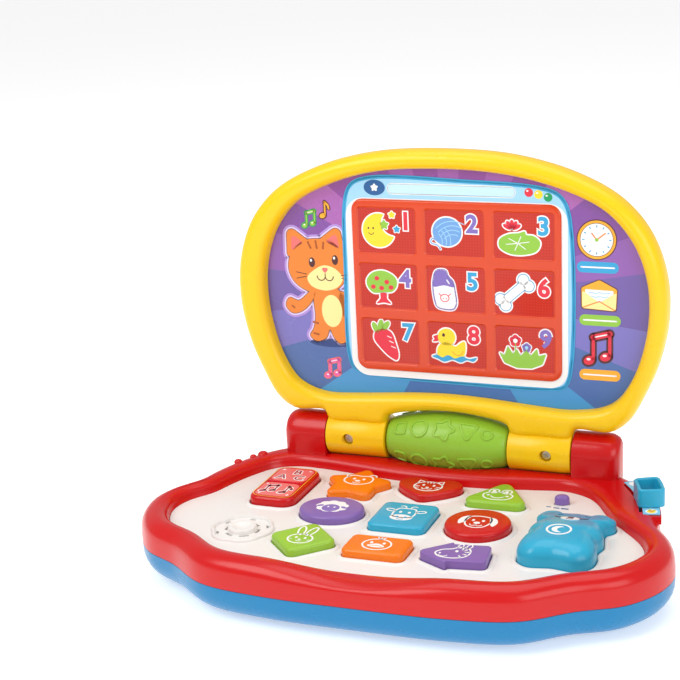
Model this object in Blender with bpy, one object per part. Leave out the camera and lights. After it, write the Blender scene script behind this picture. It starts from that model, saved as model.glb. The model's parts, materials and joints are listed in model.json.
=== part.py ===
"""Toy laptop computer: a clamshell electronic toy on a carry handle.

The base holds a keyboard plate with nine shaped keys, a mode rocker, a volume slider, a mouse
shaped key and a slider that runs round the rim; the lid holds a screen of nine lit cells, and a
roller turns between the hinge barrels. Lengths below are in millimetres and MM turns them into
metres. X runs to the right, Y to the back and Z up. The base's own frame is centred on the key
field, and the lid is modelled closed, lying flat over the base, in a frame on the hinge axis.
"""

import math

import bmesh
import bpy
from mathutils import Matrix, Vector

MM = 0.001
GAP = 0.3  # running and seating gap between neighbouring pieces
WALL = 2.4  # moulded wall

# Base heights
FOOT_HEIGHT = 2.0
SEAM_Z = 21.0
CREST_Z = 38.2
PLATE_TOP = 31.0
PLATE_THICK = 2.5
SCOOP_DEPTH = 5.0
SCOOP_HALF = 55.0

# Half outlines from the rear centre round the right side to the front centre
CASE_EDGE = [
    (0, 101), (32, 100.5), (62, 98.3), (86, 92.2), (105, 83.5), (118.5, 71), (130, 51.5),
    (137.2, 31.5), (140.6, 17.5), (151, -2), (154, -17), (149.5, -36.5), (136, -55),
    (113.5, -67.8), (88, -86), (52, -92.6), (0, -93.8),
]
PLATE_EDGE = [
    (0, 54.5), (30, 56), (56, 60), (76, 62.3), (90, 56.5), (98, 48), (104.5, 37),
    (112, 24.5), (120, 15.5), (134, -3), (138, -17), (134, -31), (123.5, -44),
    (103.5, -55), (81, -70.5), (50, -75), (0, -76.3),
]
# On the left, with no slider on the rim, the plate reaches further out at the rear
PLATE_EDGE_LEFT_REAR = {3: (78, 63), 4: (94, 63), 5: (106, 57.5), 6: (115, 43.5),
                        7: (121.8, 26.5), 8: (126.5, 11.5), 9: (135.5, -3.5)}
LID_EDGE = [
    (0, 176.5), (42, 174), (78, 164.7), (104, 151), (120.5, 132.5), (129.5, 109),
    (131.2, 84), (126.5, 58.5), (118.5, 38.5), (109.5, 22.5), (99, 15.3), (78.4, 14.9),
    (75.6, 9.6), (57, 9.0), (39.8, 9.6), (37.2, 15.4), (19, 20.2), (0, 21.4),
]
WINDOW_EDGE = [
    (0, 165.4), (40, 162.9), (73, 154.9), (96.5, 143.5), (111, 127), (118.7, 107),
    (120.3, 86), (116.8, 63.5), (110.3, 46), (102.5, 34.8), (93.5, 29.5), (78, 26.8),
    (70, 26.5), (58, 27.2), (47, 28), (37, 28.8), (19, 30.1), (0, 30.7),
]
EDGE_STEPS = 2

# Carry handle
HANDLE_R = 9.0
HANDLE_Z = 19.0
HANDLE_PATH = [(57, 84), (57, 102), (53.8, 113), (46, 123.5), (35, 130), (20, 132.8), (0, 133)]
COLLAR_R = 10.6
COLLAR_THICK = 3.0

# Hinge and roller
HINGE_Y = 80.0
HINGE_Z = 49.6
OPEN_ANGLE = 91.2
BARREL_R = 13.4
BARREL_IN = 38.6
BARREL_OUT = 76.6
BLOCK_R = 12.8
BLOCK_IN = 77.4
BLOCK_OUT = 105.0
TROUGH_GAP = 0.8
PIN_R = 2.5
PIN_HOLE_R = 2.9
PIN_INNER = 70.0
PIN_OUTER = 101.0
AXLE_HALF = 44.0
ROLLER_HALF = 37.6
ROLLER_R = 18.6
ROLLER_END_R = 12.0

# Lid depths, measured from the hinge plane with the lid closed
LID_OUTER = 8.2
LID_CREST = -10.5
LABEL_FRONT = -2.2
LABEL_THICK = 1.2
SCREEN_W = 126.8
SCREEN_H = 103.8
SCREEN_X = 6.5
SCREEN_V = 94.8
SCREEN_PROUD = 1.8
CELL_PITCH_X = 41.5
CELL_PITCH_V = 33.5
CELL_W = 36.0
CELL_H = 27.5
BADGE_V = 112.0
BADGE_A = 39.5
BADGE_B = 27.5

# Keys
KEY_TOP = 5.2
KEY_TRAVEL = 2.0
KEY_PITCH_X = 43.5
KEY_PITCH_Y = 42.0
KEY_MID = (-1.0, -3.5)
KEY_SIZE = 18.6
MOUSE_MID = (94.5, -13.0)
MOUSE_TOP = 14.0
MOUSE_TRAVEL = 2.5
ROCKER_MID = (-85.0, 23.0)
ROCKER_SIZE = (28.0, 49.0)
VOLUME_MID = (78.0, 44.0)
VOLUME_TURN = 12.0
VOLUME_KNOB = 8.6
VOLUME_TRAVEL = 2.7

# Side slider, which runs on an arc about this centre
TRACK_MID = (20.0, 0.0)
TRACK_IN = 109.0
TRACK_OUT = 121.4
TRACK_FROM = 12.5
TRACK_TO = 37.2
SLIDER_OUT = 124.3
SLIDER_LENGTH = 20.0
SLIDER_TOP = 49.0
SLIDER_WALL = 2.2
SLIDER_AT = 21.5
BED_TOP = 37.4
BED_LOW = 33.0

# Inside the base
BOARD_LOW = 21.3
BOARD_THICK = 1.6
BOARD_HALF = (66.0, 59.0)
BOARD_MID_Y = -3.0
CELL_LENGTH = 50.2
CELL_R = 7.1
CELL_Z = 12.0
BATTERY_Y = 5.0
SPEAKER_MID = (-86.0, -35.0)
SPEAKER_R = 18.0
SCREW_EDGE_POINTS = (3, 10, 14)
FOOT_PLACES = [(-108, -30), (108, -30), (-78, 62), (78, 62)]

# The part's origin is under the middle of its box, at the surface it stands on
DATUM_Y = -(HANDLE_PATH[-1][1] + HANDLE_R + CASE_EDGE[-1][1]) / 2

COLOURS = {
    "red": ((0.72, 0.012, 0.012), 0.28), "blue": ((0.0, 0.235, 0.52), 0.3),
    "yellow": ((0.93, 0.56, 0.012), 0.3), "white": ((0.88, 0.86, 0.83), 0.4),
    "orange": ((0.93, 0.24, 0.008), 0.3), "green": ((0.3, 0.56, 0.045), 0.3),
    "purple": ((0.26, 0.15, 0.47), 0.32), "light_blue": ((0.075, 0.45, 0.66), 0.28),
    "label": ((0.12, 0.1, 0.36), 0.35), "lens": ((0.88, 0.1, 0.008), 0.2),
    "board": ((0.02, 0.2, 0.07), 0.5), "steel": ((0.6, 0.6, 0.62), 0.3),
    "rubber": ((0.05, 0.05, 0.055), 0.8), "silicone": ((0.7, 0.7, 0.68), 0.7),
    "cell": ((0.07, 0.09, 0.12), 0.35), "strip": ((0.25, 0.6, 0.8), 0.4),
}


def clear_scene():
    for obj in list(bpy.data.objects):
        bpy.data.objects.remove(obj, do_unlink=True)


def new_collection(name):
    made = bpy.data.collections.new(name)
    bpy.context.scene.collection.children.link(made)
    return made


def material(name):
    """The Principled material of this colour name, made once."""
    found = bpy.data.materials.get(name)
    if found:
        return found
    colour, roughness = COLOURS[name]
    made = bpy.data.materials.new(name)
    made.use_nodes = True
    shader = made.node_tree.nodes["Principled BSDF"]
    shader.inputs["Base Color"].default_value = (*colour, 1)
    shader.inputs["Roughness"].default_value = roughness
    shader.inputs["Metallic"].default_value = 1.0 if name == "steel" else 0.0
    return made


def new_frame(name, place, turn=(0, 0, 0), parent=None):
    """An empty that carries pieces. place is in millimetres and turn in degrees."""
    empty = bpy.data.objects.new(name, None)
    parts.objects.link(empty)
    empty.parent = parent
    empty.location = [value * MM for value in place]
    empty.rotation_euler = [math.radians(value) for value in turn]
    return empty


def add_object(name, bm, colour, parent, place=(0, 0, 0), turn=(0, 0, 0), group=None):
    """A named object from a bmesh in millimetres, with its faces turned outwards."""
    bmesh.ops.recalc_face_normals(bm, faces=bm.faces)
    bmesh.ops.scale(bm, vec=(MM, MM, MM), verts=bm.verts)
    mesh = bpy.data.meshes.new(name)
    bm.to_mesh(mesh)
    bm.free()
    mesh.shade_smooth()
    mesh.set_sharp_from_angle(angle=math.radians(35))
    mesh.materials.append(material(colour))
    obj = bpy.data.objects.new(name, mesh)
    (group or parts).objects.link(obj)
    obj.parent = parent
    obj.location = [value * MM for value in place]
    obj.rotation_euler = [math.radians(value) for value in turn]
    return obj


def add_tool(name, bm, parent, place=(0, 0, 0), turn=(0, 0, 0)):
    """A hidden helper for a Boolean."""
    obj = add_object(name, bm, "white", parent, place, turn, tools)
    obj.hide_render = True
    obj.display_type = "WIRE"
    return obj


def boolean(obj, tool, operation):
    modifier = obj.modifiers.new(f"{operation.lower()} {tool.name}", "BOOLEAN")
    modifier.operation = operation
    modifier.object = tool
    modifier.use_self = True


def joined(*pieces):
    """One bmesh that holds the separate bodies of several."""
    whole = bmesh.new()
    for piece in pieces:
        mesh = bpy.data.meshes.new("piece")
        bmesh.ops.recalc_face_normals(piece, faces=piece.faces)
        piece.to_mesh(mesh)
        piece.free()
        whole.from_mesh(mesh)
        bpy.data.meshes.remove(mesh)
    return whole


def box(low, high):
    bm = bmesh.new()
    bmesh.ops.create_cube(bm, size=1)
    low, high = Vector(low), Vector(high)
    bmesh.ops.scale(bm, vec=high - low, verts=bm.verts)
    bmesh.ops.translate(bm, vec=(low + high) / 2, verts=bm.verts)
    return bm


def cylinder(radius, low, high, centre=(0, 0), sides=16, axis="Z"):
    """A cylinder from low to high along an axis, at centre in the other two coordinates."""
    bm = bmesh.new()
    bmesh.ops.create_cone(bm, cap_ends=True, segments=sides, radius1=radius, radius2=radius,
                          depth=high - low)
    middle = (low + high) / 2
    if axis == "X":
        bmesh.ops.rotate(bm, cent=(0, 0, 0), matrix=Matrix.Rotation(math.pi / 2, 3, "Y"),
                         verts=bm.verts)
        offset = (middle, *centre)
    elif axis == "Y":
        bmesh.ops.rotate(bm, cent=(0, 0, 0), matrix=Matrix.Rotation(math.pi / 2, 3, "X"),
                         verts=bm.verts)
        offset = (centre[0], middle, centre[1])
    else:
        offset = (*centre, middle)
    bmesh.ops.translate(bm, vec=offset, verts=bm.verts)
    return bm


def loft(rings, ends=True):
    """Skins a row of rings. With ends the two end rings are capped, else the row closes."""
    bm = bmesh.new()
    rows = [[bm.verts.new(point) for point in ring] for ring in rings]
    pairs = list(zip(rows, rows[1:]))
    if not ends:
        pairs.append((rows[-1], rows[0]))
    for first, second in pairs:
        for k in range(len(first)):
            after = (k + 1) % len(first)
            bm.faces.new((first[k], first[after], second[after], second[k]))
    if ends:
        bm.faces.new(rows[0])
        bm.faces.new(rows[-1])
    return bm


def level(outline, z):
    return [(x, y, z) for x, y in outline]


def prism(outline, low, high):
    return loft([level(outline, low), level(outline, high)])


def stepped(steps):
    """A body whose outline changes with height. steps are (outline, z) pairs."""
    return loft([level(outline, z) for outline, z in steps])


def turned(profile, sides=20, axis="Z"):
    """A solid of revolution. profile is (radius, height) pairs, closed at both ends."""
    rings = []
    for radius, height in profile:
        ring = []
        for k in range(sides):
            a = 2 * math.pi * k / sides
            u, v = radius * math.cos(a), radius * math.sin(a)
            ring.append((height, u, v) if axis == "X" else (u, v, height))
        rings.append(ring)
    return loft(rings)


def turned_ring(profile, sides=24):
    """A body of revolution about X with a hole. profile is a closed loop of (radius, x)."""
    rings = []
    for k in range(sides):
        a = 2 * math.pi * k / sides
        rings.append([(x, radius * math.cos(a), radius * math.sin(a)) for radius, x in profile])
    return loft(rings, ends=False)


def smooth_closed(points, steps):
    """A closed centripetal Catmull-Rom curve through the points, as steps points a span."""
    count = len(points)
    made = []
    for k in range(count):
        a, b, c, d = (Vector(points[(k + j) % count]) for j in (-1, 0, 1, 2))
        t1 = (b - a).length ** 0.5
        t2 = t1 + (c - b).length ** 0.5
        t3 = t2 + (d - c).length ** 0.5
        for step in range(steps):
            t = t1 + (t2 - t1) * step / steps
            ab = a.lerp(b, t / t1)
            bc = b.lerp(c, (t - t1) / (t2 - t1))
            cd = c.lerp(d, (t - t2) / (t3 - t2))
            abc, bcd = ab.lerp(bc, t / t2), bc.lerp(cd, (t - t1) / (t3 - t1))
            made.append(tuple(abc.lerp(bcd, (t - t1) / (t2 - t1))))
    return made


def whole_outline(half, left=None):
    """Closed control points from a half outline, mirrored to the left, where left overrides some."""
    left = left or {}
    mirrored = [left.get(k, half[k]) for k in range(len(half) - 2, 0, -1)]
    return list(half) + [(-x, y) for x, y in mirrored]


def between(outer, inner, kind, distance):
    """The ring at a distance in from the outer edge ("o"), or out from the inner edge ("i")."""
    ring = []
    for edge, core in zip(outer, inner):
        start, end = Vector(edge), Vector(core)
        inward = (end - start).normalized()
        ring.append(tuple(start + inward * distance if kind == "o" else end - inward * distance))
    return ring


def offset(outline, distance):
    """The outline moved outwards along its corners' mitres, whichever way round it runs."""
    area = sum(a[0] * b[1] - b[0] * a[1] for a, b in zip(outline, outline[1:] + outline[:1]))
    side = 1 if area > 0 else -1
    moved = []
    for k, point in enumerate(outline):
        before = (Vector(point) - Vector(outline[k - 1])).normalized()
        after = (Vector(outline[(k + 1) % len(outline)]) - Vector(point)).normalized()
        normal = Vector((before.y + after.y, -before.x - after.x)) * side
        normal.normalize()
        mitre = max(normal.dot(Vector((before.y, -before.x)) * side), 0.5)
        moved.append(tuple(Vector(point) + normal * distance / mitre))
    return moved


def rounded(corners, radius, steps=4):
    """A polygon with its corners rounded. radius is one value, or one for each corner."""
    made = []
    for k, corner in enumerate(corners):
        r = radius[k] if isinstance(radius, (list, tuple)) else radius
        here = Vector(corner)
        back = (Vector(corners[k - 1]) - here).normalized()
        ahead = (Vector(corners[(k + 1) % len(corners)]) - here).normalized()
        half = math.acos(max(-1, min(1, back.dot(ahead)))) / 2
        reach = r / math.tan(half)
        centre = here + (back + ahead).normalized() * r / math.sin(half)
        start, end = here + back * reach - centre, here + ahead * reach - centre
        first = math.atan2(start.y, start.x)
        sweep = math.atan2(end.y, end.x) - first
        sweep = (sweep + math.pi) % (2 * math.pi) - math.pi
        for step in range(steps):
            a = first + sweep * step / (steps - 1)
            made.append((centre.x + r * math.cos(a), centre.y + r * math.sin(a)))
    return made


def rectangle(width, height, centre=(0, 0)):
    x, y, w, h = *centre, width / 2, height / 2
    return [(x - w, y - h), (x + w, y - h), (x + w, y + h), (x - w, y + h)]


def ellipse(a, b, count, centre=(0, 0)):
    angles = [2 * math.pi * k / count for k in range(count)]
    return [(centre[0] + a * math.cos(t), centre[1] + b * math.sin(t)) for t in angles]


def arc_band(r_in, r_out, from_deg, to_deg, steps=8, centre=TRACK_MID):
    """The outline of a band that runs on an arc."""
    angles = [math.radians(from_deg + (to_deg - from_deg) * k / steps) for k in range(steps + 1)]
    outer = [(centre[0] + r_out * math.cos(a), centre[1] + r_out * math.sin(a)) for a in angles]
    inner = [(centre[0] + r_in * math.cos(a), centre[1] + r_in * math.sin(a)) for a in angles]
    return outer + inner[::-1]


def scoop(x, y):
    """How much the rim dips at this place, from 0 to 1: the thumb scoop at the front."""
    if y > 0 or abs(x) > SCOOP_HALF:
        return 0.0
    return math.cos(math.pi * x / (2 * SCOOP_HALF)) ** 2


def case_ring(kind, distance, z, dip=0.0):
    """A ring between the case's edge and the plate's. dip is its share of the scoop."""
    ring = between(case_edge, plate_edge, kind, distance)
    return [(x, y, z - SCOOP_DEPTH * dip * scoop(x, y)) for x, y in ring]


def lid_ring(kind, distance, z):
    """A ring between the lid's edge and the window's, lying flat with the far edge at -Y."""
    return [(x, -v, z) for x, v in between(lid_edge, window_edge, kind, distance)]


def edge_point(index, side, inward):
    """The place that lies inward of the plate's edge at one of its control points."""
    edge, core = Vector(CASE_EDGE[index]), Vector(PLATE_EDGE[index])
    if side < 0 and index in PLATE_EDGE_LEFT_REAR:
        core = Vector(PLATE_EDGE_LEFT_REAR[index])
    place = core + (core - edge).normalized() * inward
    return place.x * side, place.y


def screw_places():
    return [edge_point(index, side, 4.2) for index in SCREW_EDGE_POINTS for side in (-1, 1)]


def make_bottom_shell():
    inner = [("o", 17, 4.4), ("o", 9, 7.4), ("o", 3.6, 13.5), ("o", WALL, SEAM_Z)]
    outer = [("o", 0, SEAM_Z), ("o", 0.8, 15), ("o", 4.6, 8.2), ("o", 11, 3.6),
             ("o", 19, FOOT_HEIGHT)]
    shell = add_object("bottom_shell", loft([case_ring(*p) for p in inner + outer]), "blue",
                       base_frame)
    posts = [cylinder(4, 3.4, BOARD_LOW - GAP, (x, BOARD_MID_Y + y), 12)
             for x in (-58, 58) for y in (-50, 50)]
    bosses = [cylinder(4.8, 3.2, SEAM_Z - GAP, place, 12) for place in screw_places()]
    bay_box = box((-33, BATTERY_Y - 22, 3), (33, BATTERY_Y + 31, BOARD_LOW - GAP))
    adds = add_tool("shell_adds", joined(bay_box, *posts, *bosses), base_frame)
    boolean(shell, adds, "UNION")
    door = rectangle(60.6, 46.6, (0, BATTERY_Y + 5))
    cavity = rectangle(56.6, 31, (0, BATTERY_Y))
    bay = stepped([(door, 0), (door, 4.6), (cavity, 4.6), (cavity, CELL_Z + CELL_R + 0.4)])
    holes = []
    for place in screw_places():
        hole = turned([(3.6, 0), (3.6, 12), (2, 12), (2, 24)], 12)
        bmesh.ops.translate(hole, vec=(*place, 0), verts=hole.verts)
        holes.append(hole)
    door_screw = cylinder(1.2, 4, 16, (0, BATTERY_Y + 23.5), 10)
    notches = [cylinder(HANDLE_R + GAP, 88.5, 104, (side * HANDLE_PATH[0][0], HANDLE_Z), 24, "Y")
               for side in (-1, 1)]
    cuts = add_tool("shell_cuts", joined(bay, door_screw, *holes, *notches), base_frame)
    boolean(shell, cuts, "DIFFERENCE")


def trough_liner(radius, low_x, high_x):
    """The wall under a trough: the lower part of a round bar along X, cut off under the deck."""
    top, back = 36.5, 95.5
    widest = math.acos((HINGE_Z - top) / radius)
    ring = []
    for k in range(11):
        a = widest * (k / 5 - 1)
        ring.append((min(HINGE_Y + radius * math.sin(a), back), HINGE_Z - radius * math.cos(a)))
    return loft([[(x, y, z) for y, z in ring] for x in (low_x, high_x)])


def roller_profile(swell=0.0, half=ROLLER_HALF, steps=8):
    """(radius, x) pairs of the roller's barrel shape, swollen by a clearance."""
    pairs = []
    for k in range(steps + 1):
        x = half * (2 * k / steps - 1)
        fall = min(abs(x) / ROLLER_HALF, 1.0) ** 2
        pairs.append((ROLLER_R - (ROLLER_R - ROLLER_END_R) * fall + swell, x))
    return pairs


def hinge_axis(bm):
    """Moves a piece made on the X axis to the hinge axis."""
    bmesh.ops.translate(bm, vec=(0, HINGE_Y, HINGE_Z), verts=bm.verts)
    return bm


def make_top_casing():
    profile = [("o", 0, SEAM_Z + GAP), ("o", 0.6, 28.5), ("o", 3.2, 34.6, 0.6),
               ("o", 8, CREST_Z, 1), ("i", 6.3, CREST_Z, 1), ("i", 2.4, 34.8, 0.6),
               ("i", 0, PLATE_TOP + GAP), ("i", 0, 28.1), ("i", -1, 28.1), ("i", -1, 26.3),
               ("i", 2.3, 26.3), ("i", 6.8, 35.6, 1), ("o", 7.8, 35.6, 1), ("o", 3, 28),
               ("o", WALL, SEAM_Z + GAP)]
    casing = add_object("top_casing", loft([case_ring(*p) for p in profile], ends=False), "red",
                        base_frame)
    liner_r = ROLLER_R + TROUGH_GAP + WALL
    barrel_liner_r = BARREL_R + TROUGH_GAP + WALL
    liners = [trough_liner(liner_r, -BARREL_IN - 1.5, BARREL_IN + 1.5)]
    for side in (-1, 1):
        ends = sorted((side * (BARREL_IN + 1), side * (BLOCK_IN + 2)))
        liners.append(trough_liner(barrel_liner_r, *ends))
    for k, liner in enumerate(liners):
        boolean(casing, add_tool(f"liner_{k}", liner, base_frame), "UNION")
    bosses = [cylinder(4.4, SEAM_Z + GAP, 28.1, place, 12) for place in screw_places()]
    bed = prism(arc_band(TRACK_IN, TRACK_OUT, TRACK_FROM - 1, TRACK_TO + 1), BED_LOW, BED_TOP)
    wall = prism(arc_band(TRACK_OUT - 3, TRACK_OUT - 0.1, TRACK_FROM - 0.8, TRACK_TO + 0.8), 24, BED_LOW + 1)
    boolean(casing, add_tool("casing_bosses", joined(*bosses), base_frame), "UNION")
    boolean(casing, add_tool("slider_bed", bed, base_frame), "UNION")
    boolean(casing, add_tool("slider_bed_wall", wall, base_frame), "UNION")
    trim = prism(between(case_edge, plate_edge, "o", 1.6), 30, 70)
    for side, name in ((-1, "left"), (1, "right")):
        ends = sorted((side * BLOCK_IN, side * BLOCK_OUT))
        block = cylinder(BLOCK_R, *ends, (HINGE_Y, HINGE_Z), 24, "X")
        foot = box((ends[0], HINGE_Y - BLOCK_R, 36.2), (ends[1], HINGE_Y + BLOCK_R, HINGE_Z))
        block = add_tool(f"block_{name}", block, base_frame)
        boolean(block, add_tool(f"block_foot_{name}", foot, base_frame), "UNION")
        boolean(block, add_tool(f"block_trim_{name}", trim.copy(), base_frame), "INTERSECT")
        boolean(casing, block, "UNION")
    trim.free()
    trough = hinge_axis(turned(roller_profile(TROUGH_GAP, BARREL_IN), 28, "X"))
    boolean(casing, add_tool("roller_trough", trough, base_frame), "DIFFERENCE")
    for side, name in ((-1, "left"), (1, "right")):
        ends = sorted((side * (BARREL_IN - 0.5), side * BLOCK_IN))
        bore = cylinder(BARREL_R + TROUGH_GAP, *ends, (HINGE_Y, HINGE_Z), 28, "X")
        boolean(casing, add_tool(f"barrel_trough_{name}", bore, base_frame), "DIFFERENCE")
    pins = [cylinder(PIN_HOLE_R, *sorted((side * (BLOCK_IN - 1), side * (PIN_OUTER + GAP))),
                     (HINGE_Y, HINGE_Z), 16, "X") for side in (-1, 1)]
    pilots = [cylinder(1.75, SEAM_Z - 1, 27.2, place, 10) for place in screw_places()]
    notches = [cylinder(HANDLE_R + GAP, 88.5, 104, (side * HANDLE_PATH[0][0], HANDLE_Z), 24, "Y")
               for side in (-1, 1)]
    slot = prism(arc_band(TRACK_IN + 0.3, TRACK_IN + 2.1, SLIDER_AT - 7.5, SLIDER_AT + 14), 30, 40)
    recess = prism(arc_band(TRACK_IN + 2.1, TRACK_OUT + 3, TRACK_FROM - 0.3, TRACK_TO + 0.3),
                   BED_TOP, 50)
    cuts = add_tool("casing_cuts", joined(*pins, *pilots, *notches, slot, recess), base_frame)
    boolean(casing, cuts, "DIFFERENCE")


def speaker_slots():
    """Six arc slots round the grille's middle and six small ones outside them."""
    slots = []
    for k in range(6):
        for r_in, r_out, turn, half in ((8.6, 10.2, 0, 17), (13.4, 14.8, 30, 7)):
            a = 60 * k + turn
            slots.append(arc_band(r_in, r_out, a - half, a + half, 4, SPEAKER_MID))
    return slots


def make_keyboard_plate():
    edge = between(case_edge, plate_edge, "i", -GAP)
    low = PLATE_TOP - PLATE_THICK
    plate = add_object("keyboard_plate", prism(edge, low, PLATE_TOP), "white", base_frame)
    holes = []
    for outline, mid in key_shapes().values():
        holes.append([(x + mid[0], y + mid[1]) for x, y in offset(outline, 0.4)])
    holes.append([(x + MOUSE_MID[0], y + MOUSE_MID[1]) for x, y in offset(mouse_outline(), 0.5)])
    rocker = offset(rounded(rectangle(*ROCKER_SIZE), 7), 0.7)
    holes.append([(x + ROCKER_MID[0], y + ROCKER_MID[1]) for x, y in rocker])
    slot = rounded(rectangle(3 + 2 * VOLUME_TRAVEL + 1, 3), 1.4, 3)
    turn = Matrix.Rotation(math.radians(VOLUME_TURN), 2)
    holes.append([tuple(turn @ Vector(p) + Vector(VOLUME_MID)) for p in slot])
    holes += speaker_slots()
    cutters = [prism(hole, low - 1, PLATE_TOP + 1) for hole in holes]
    boolean(plate, add_tool("plate_holes", joined(*cutters), base_frame), "DIFFERENCE")


def heart(size):
    """A heart with its tip to the front."""
    half = [(0, 0.46), (0.3, 0.7), (0.7, 0.72), (1.02, 0.45), (1.0, 0.08), (0.7, -0.28),
            (0.32, -0.57), (0.1, -0.71), (0, -0.73)]
    return [(x * size, y * size) for x, y in smooth_closed(whole_outline(half), 2)]


def key_shapes():
    """The nine keys: an outline about its own middle, and the middle's place, for each name."""
    s = KEY_SIZE
    star = [(r * math.sin(math.pi * k / 5), r * math.cos(math.pi * k / 5) - s * 0.15)
            for k, r in enumerate([s * 1.22, s * 0.75] * 5)]
    triangle = [(-s * 1.16, -s * 0.74), (s * 1.16, -s * 0.74), (0, s * 1.08)]
    diamond = [(-s * 1.08, 0), (0, -s * 1.08), (s * 1.08, 0), (0, s * 1.08)]
    arrow = [(-s * 1.12, 0), (-s * 0.12, -s * 0.72), (-s * 0.12, -s * 0.58), (s, -s * 0.58),
             (s, s * 0.58), (-s * 0.12, s * 0.58), (-s * 0.12, s * 0.72)]
    outlines = {
        "key_star": rounded(star, [3.6, 2.5] * 5, 3),
        "key_heart": heart(s),
        "key_triangle": rounded(triangle, 5, 5),
        "key_oval": ellipse(s * 1.02, s * 0.85, 24),
        "key_square": rounded(rectangle(s * 1.8, s * 1.8), 4.5, 4),
        "key_circle": ellipse(s, s, 24),
        "key_diamond": rounded(diamond, 4.2, 4),
        "key_rectangle": rounded(rectangle(s * 1.9, s * 1.2), 4, 4),
        "key_arrow": rounded(arrow, [3.2, 0.7, 1.0, 3, 3, 1.0, 0.7], 3),
    }
    placed = {}
    for k, (name, outline) in enumerate(outlines.items()):
        column, row = k % 3 - 1, 1 - k // 3
        mid = (KEY_MID[0] + column * KEY_PITCH_X, KEY_MID[1] + row * KEY_PITCH_Y)
        if name == "key_arrow":
            turn = Matrix.Rotation(math.radians(7), 2)
            outline = [tuple(turn @ Vector(point)) for point in outline]
        placed[name] = (outline, mid)
    return placed


KEY_COLOURS = {"key_star": "orange", "key_heart": "red", "key_triangle": "green",
               "key_oval": "purple", "key_square": "light_blue", "key_circle": "red",
               "key_diamond": "green", "key_rectangle": "orange", "key_arrow": "purple"}


def make_keys():
    flange_top = -PLATE_THICK - GAP
    for name, (outline, mid) in key_shapes().items():
        flange = offset(outline, 1.0)
        key = stepped([(flange, flange_top - 1.6), (flange, flange_top), (outline, flange_top),
                       (outline, KEY_TOP - 2), (offset(outline, -0.7), KEY_TOP - 0.6),
                       (offset(outline, -1.9), KEY_TOP)])
        add_object(name, key, KEY_COLOURS[name], base_frame, (*mid, PLATE_TOP))


def mouse_outline():
    """The mouse key from above: a plump body with a head, two ears and two paws."""
    half = [(0, 31.5), (10, 30.2), (15.5, 31.5), (21, 28.5), (21.8, 21.5), (18, 16), (18.8, 9),
            (20.6, 0), (19, -8), (20.8, -16), (19.6, -26), (12.5, -31.3), (5, -30.6), (0, -29.8)]
    return smooth_closed(whole_outline(half), 1)


def make_mouse_key():
    outline = mouse_outline()
    flange = offset(outline, 1.5)
    low = -PLATE_THICK - GAP
    rounds = [(0.0, 5.5), (1.6, 9.4), (4.6, 12.2), (8.6, 13.6), (12.5, MOUSE_TOP)]
    steps = [(flange, low - 1.4), (flange, low), (outline, low)]
    for inset, z in rounds:
        steps.append(([shrink(point, inset) for point in outline], z))
    add_object("mouse_key", stepped(steps), "light_blue", base_frame, (*MOUSE_MID, PLATE_TOP))


def shrink(point, inset):
    """The point moved inwards by about inset, keeping the shape's proportions."""
    x, y = point
    return x * (1 - inset / 22), y * (1 - inset / 32)


def make_mode_rocker():
    """The rocker's cap with a bar under the plate, on its own axis along X."""
    outline = rounded(rectangle(*ROCKER_SIZE), 7)
    pivot = 27.0
    top = PLATE_TOP - pivot
    cap = stepped([(outline, -0.4), (outline, top + 3.4), (offset(outline, -1.2), top + 5.2),
                   (offset(outline, -3.2), top + 6)])
    rocker = add_object("mode_rocker", cap, "red", base_frame, (*ROCKER_MID, pivot))
    bar = box((-17, -2.5, -1.8), (17, 2.5, 0.9))
    boolean(rocker, add_tool("rocker_bar", bar, base_frame, (*ROCKER_MID, pivot)), "UNION")


def make_volume_slider():
    knob = stepped([(ellipse(VOLUME_KNOB / 2, 2.9, 16), GAP),
                    (ellipse(VOLUME_KNOB / 2, 2.9, 16), 3.2),
                    (ellipse(VOLUME_KNOB / 2 - 0.8, 2.2, 16), 4.8),
                    (ellipse(VOLUME_KNOB / 2 - 2.2, 1.2, 16), 5.5)])
    slider = add_object("volume_slider", knob, "purple", base_frame, (*VOLUME_MID, PLATE_TOP),
                        (0, 0, VOLUME_TURN))
    stem = box((-1.5, -1.15, -3.4), (1.5, 1.15, 1))
    foot = box((-5.5, -3.5, -4.6), (5.5, 3.5, -PLATE_THICK - GAP))
    for name, shape in (("volume_stem", stem), ("volume_foot", foot)):
        tool = add_tool(name, shape, base_frame, (*VOLUME_MID, PLATE_TOP), (0, 0, VOLUME_TURN))
        boolean(slider, tool, "UNION")


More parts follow.
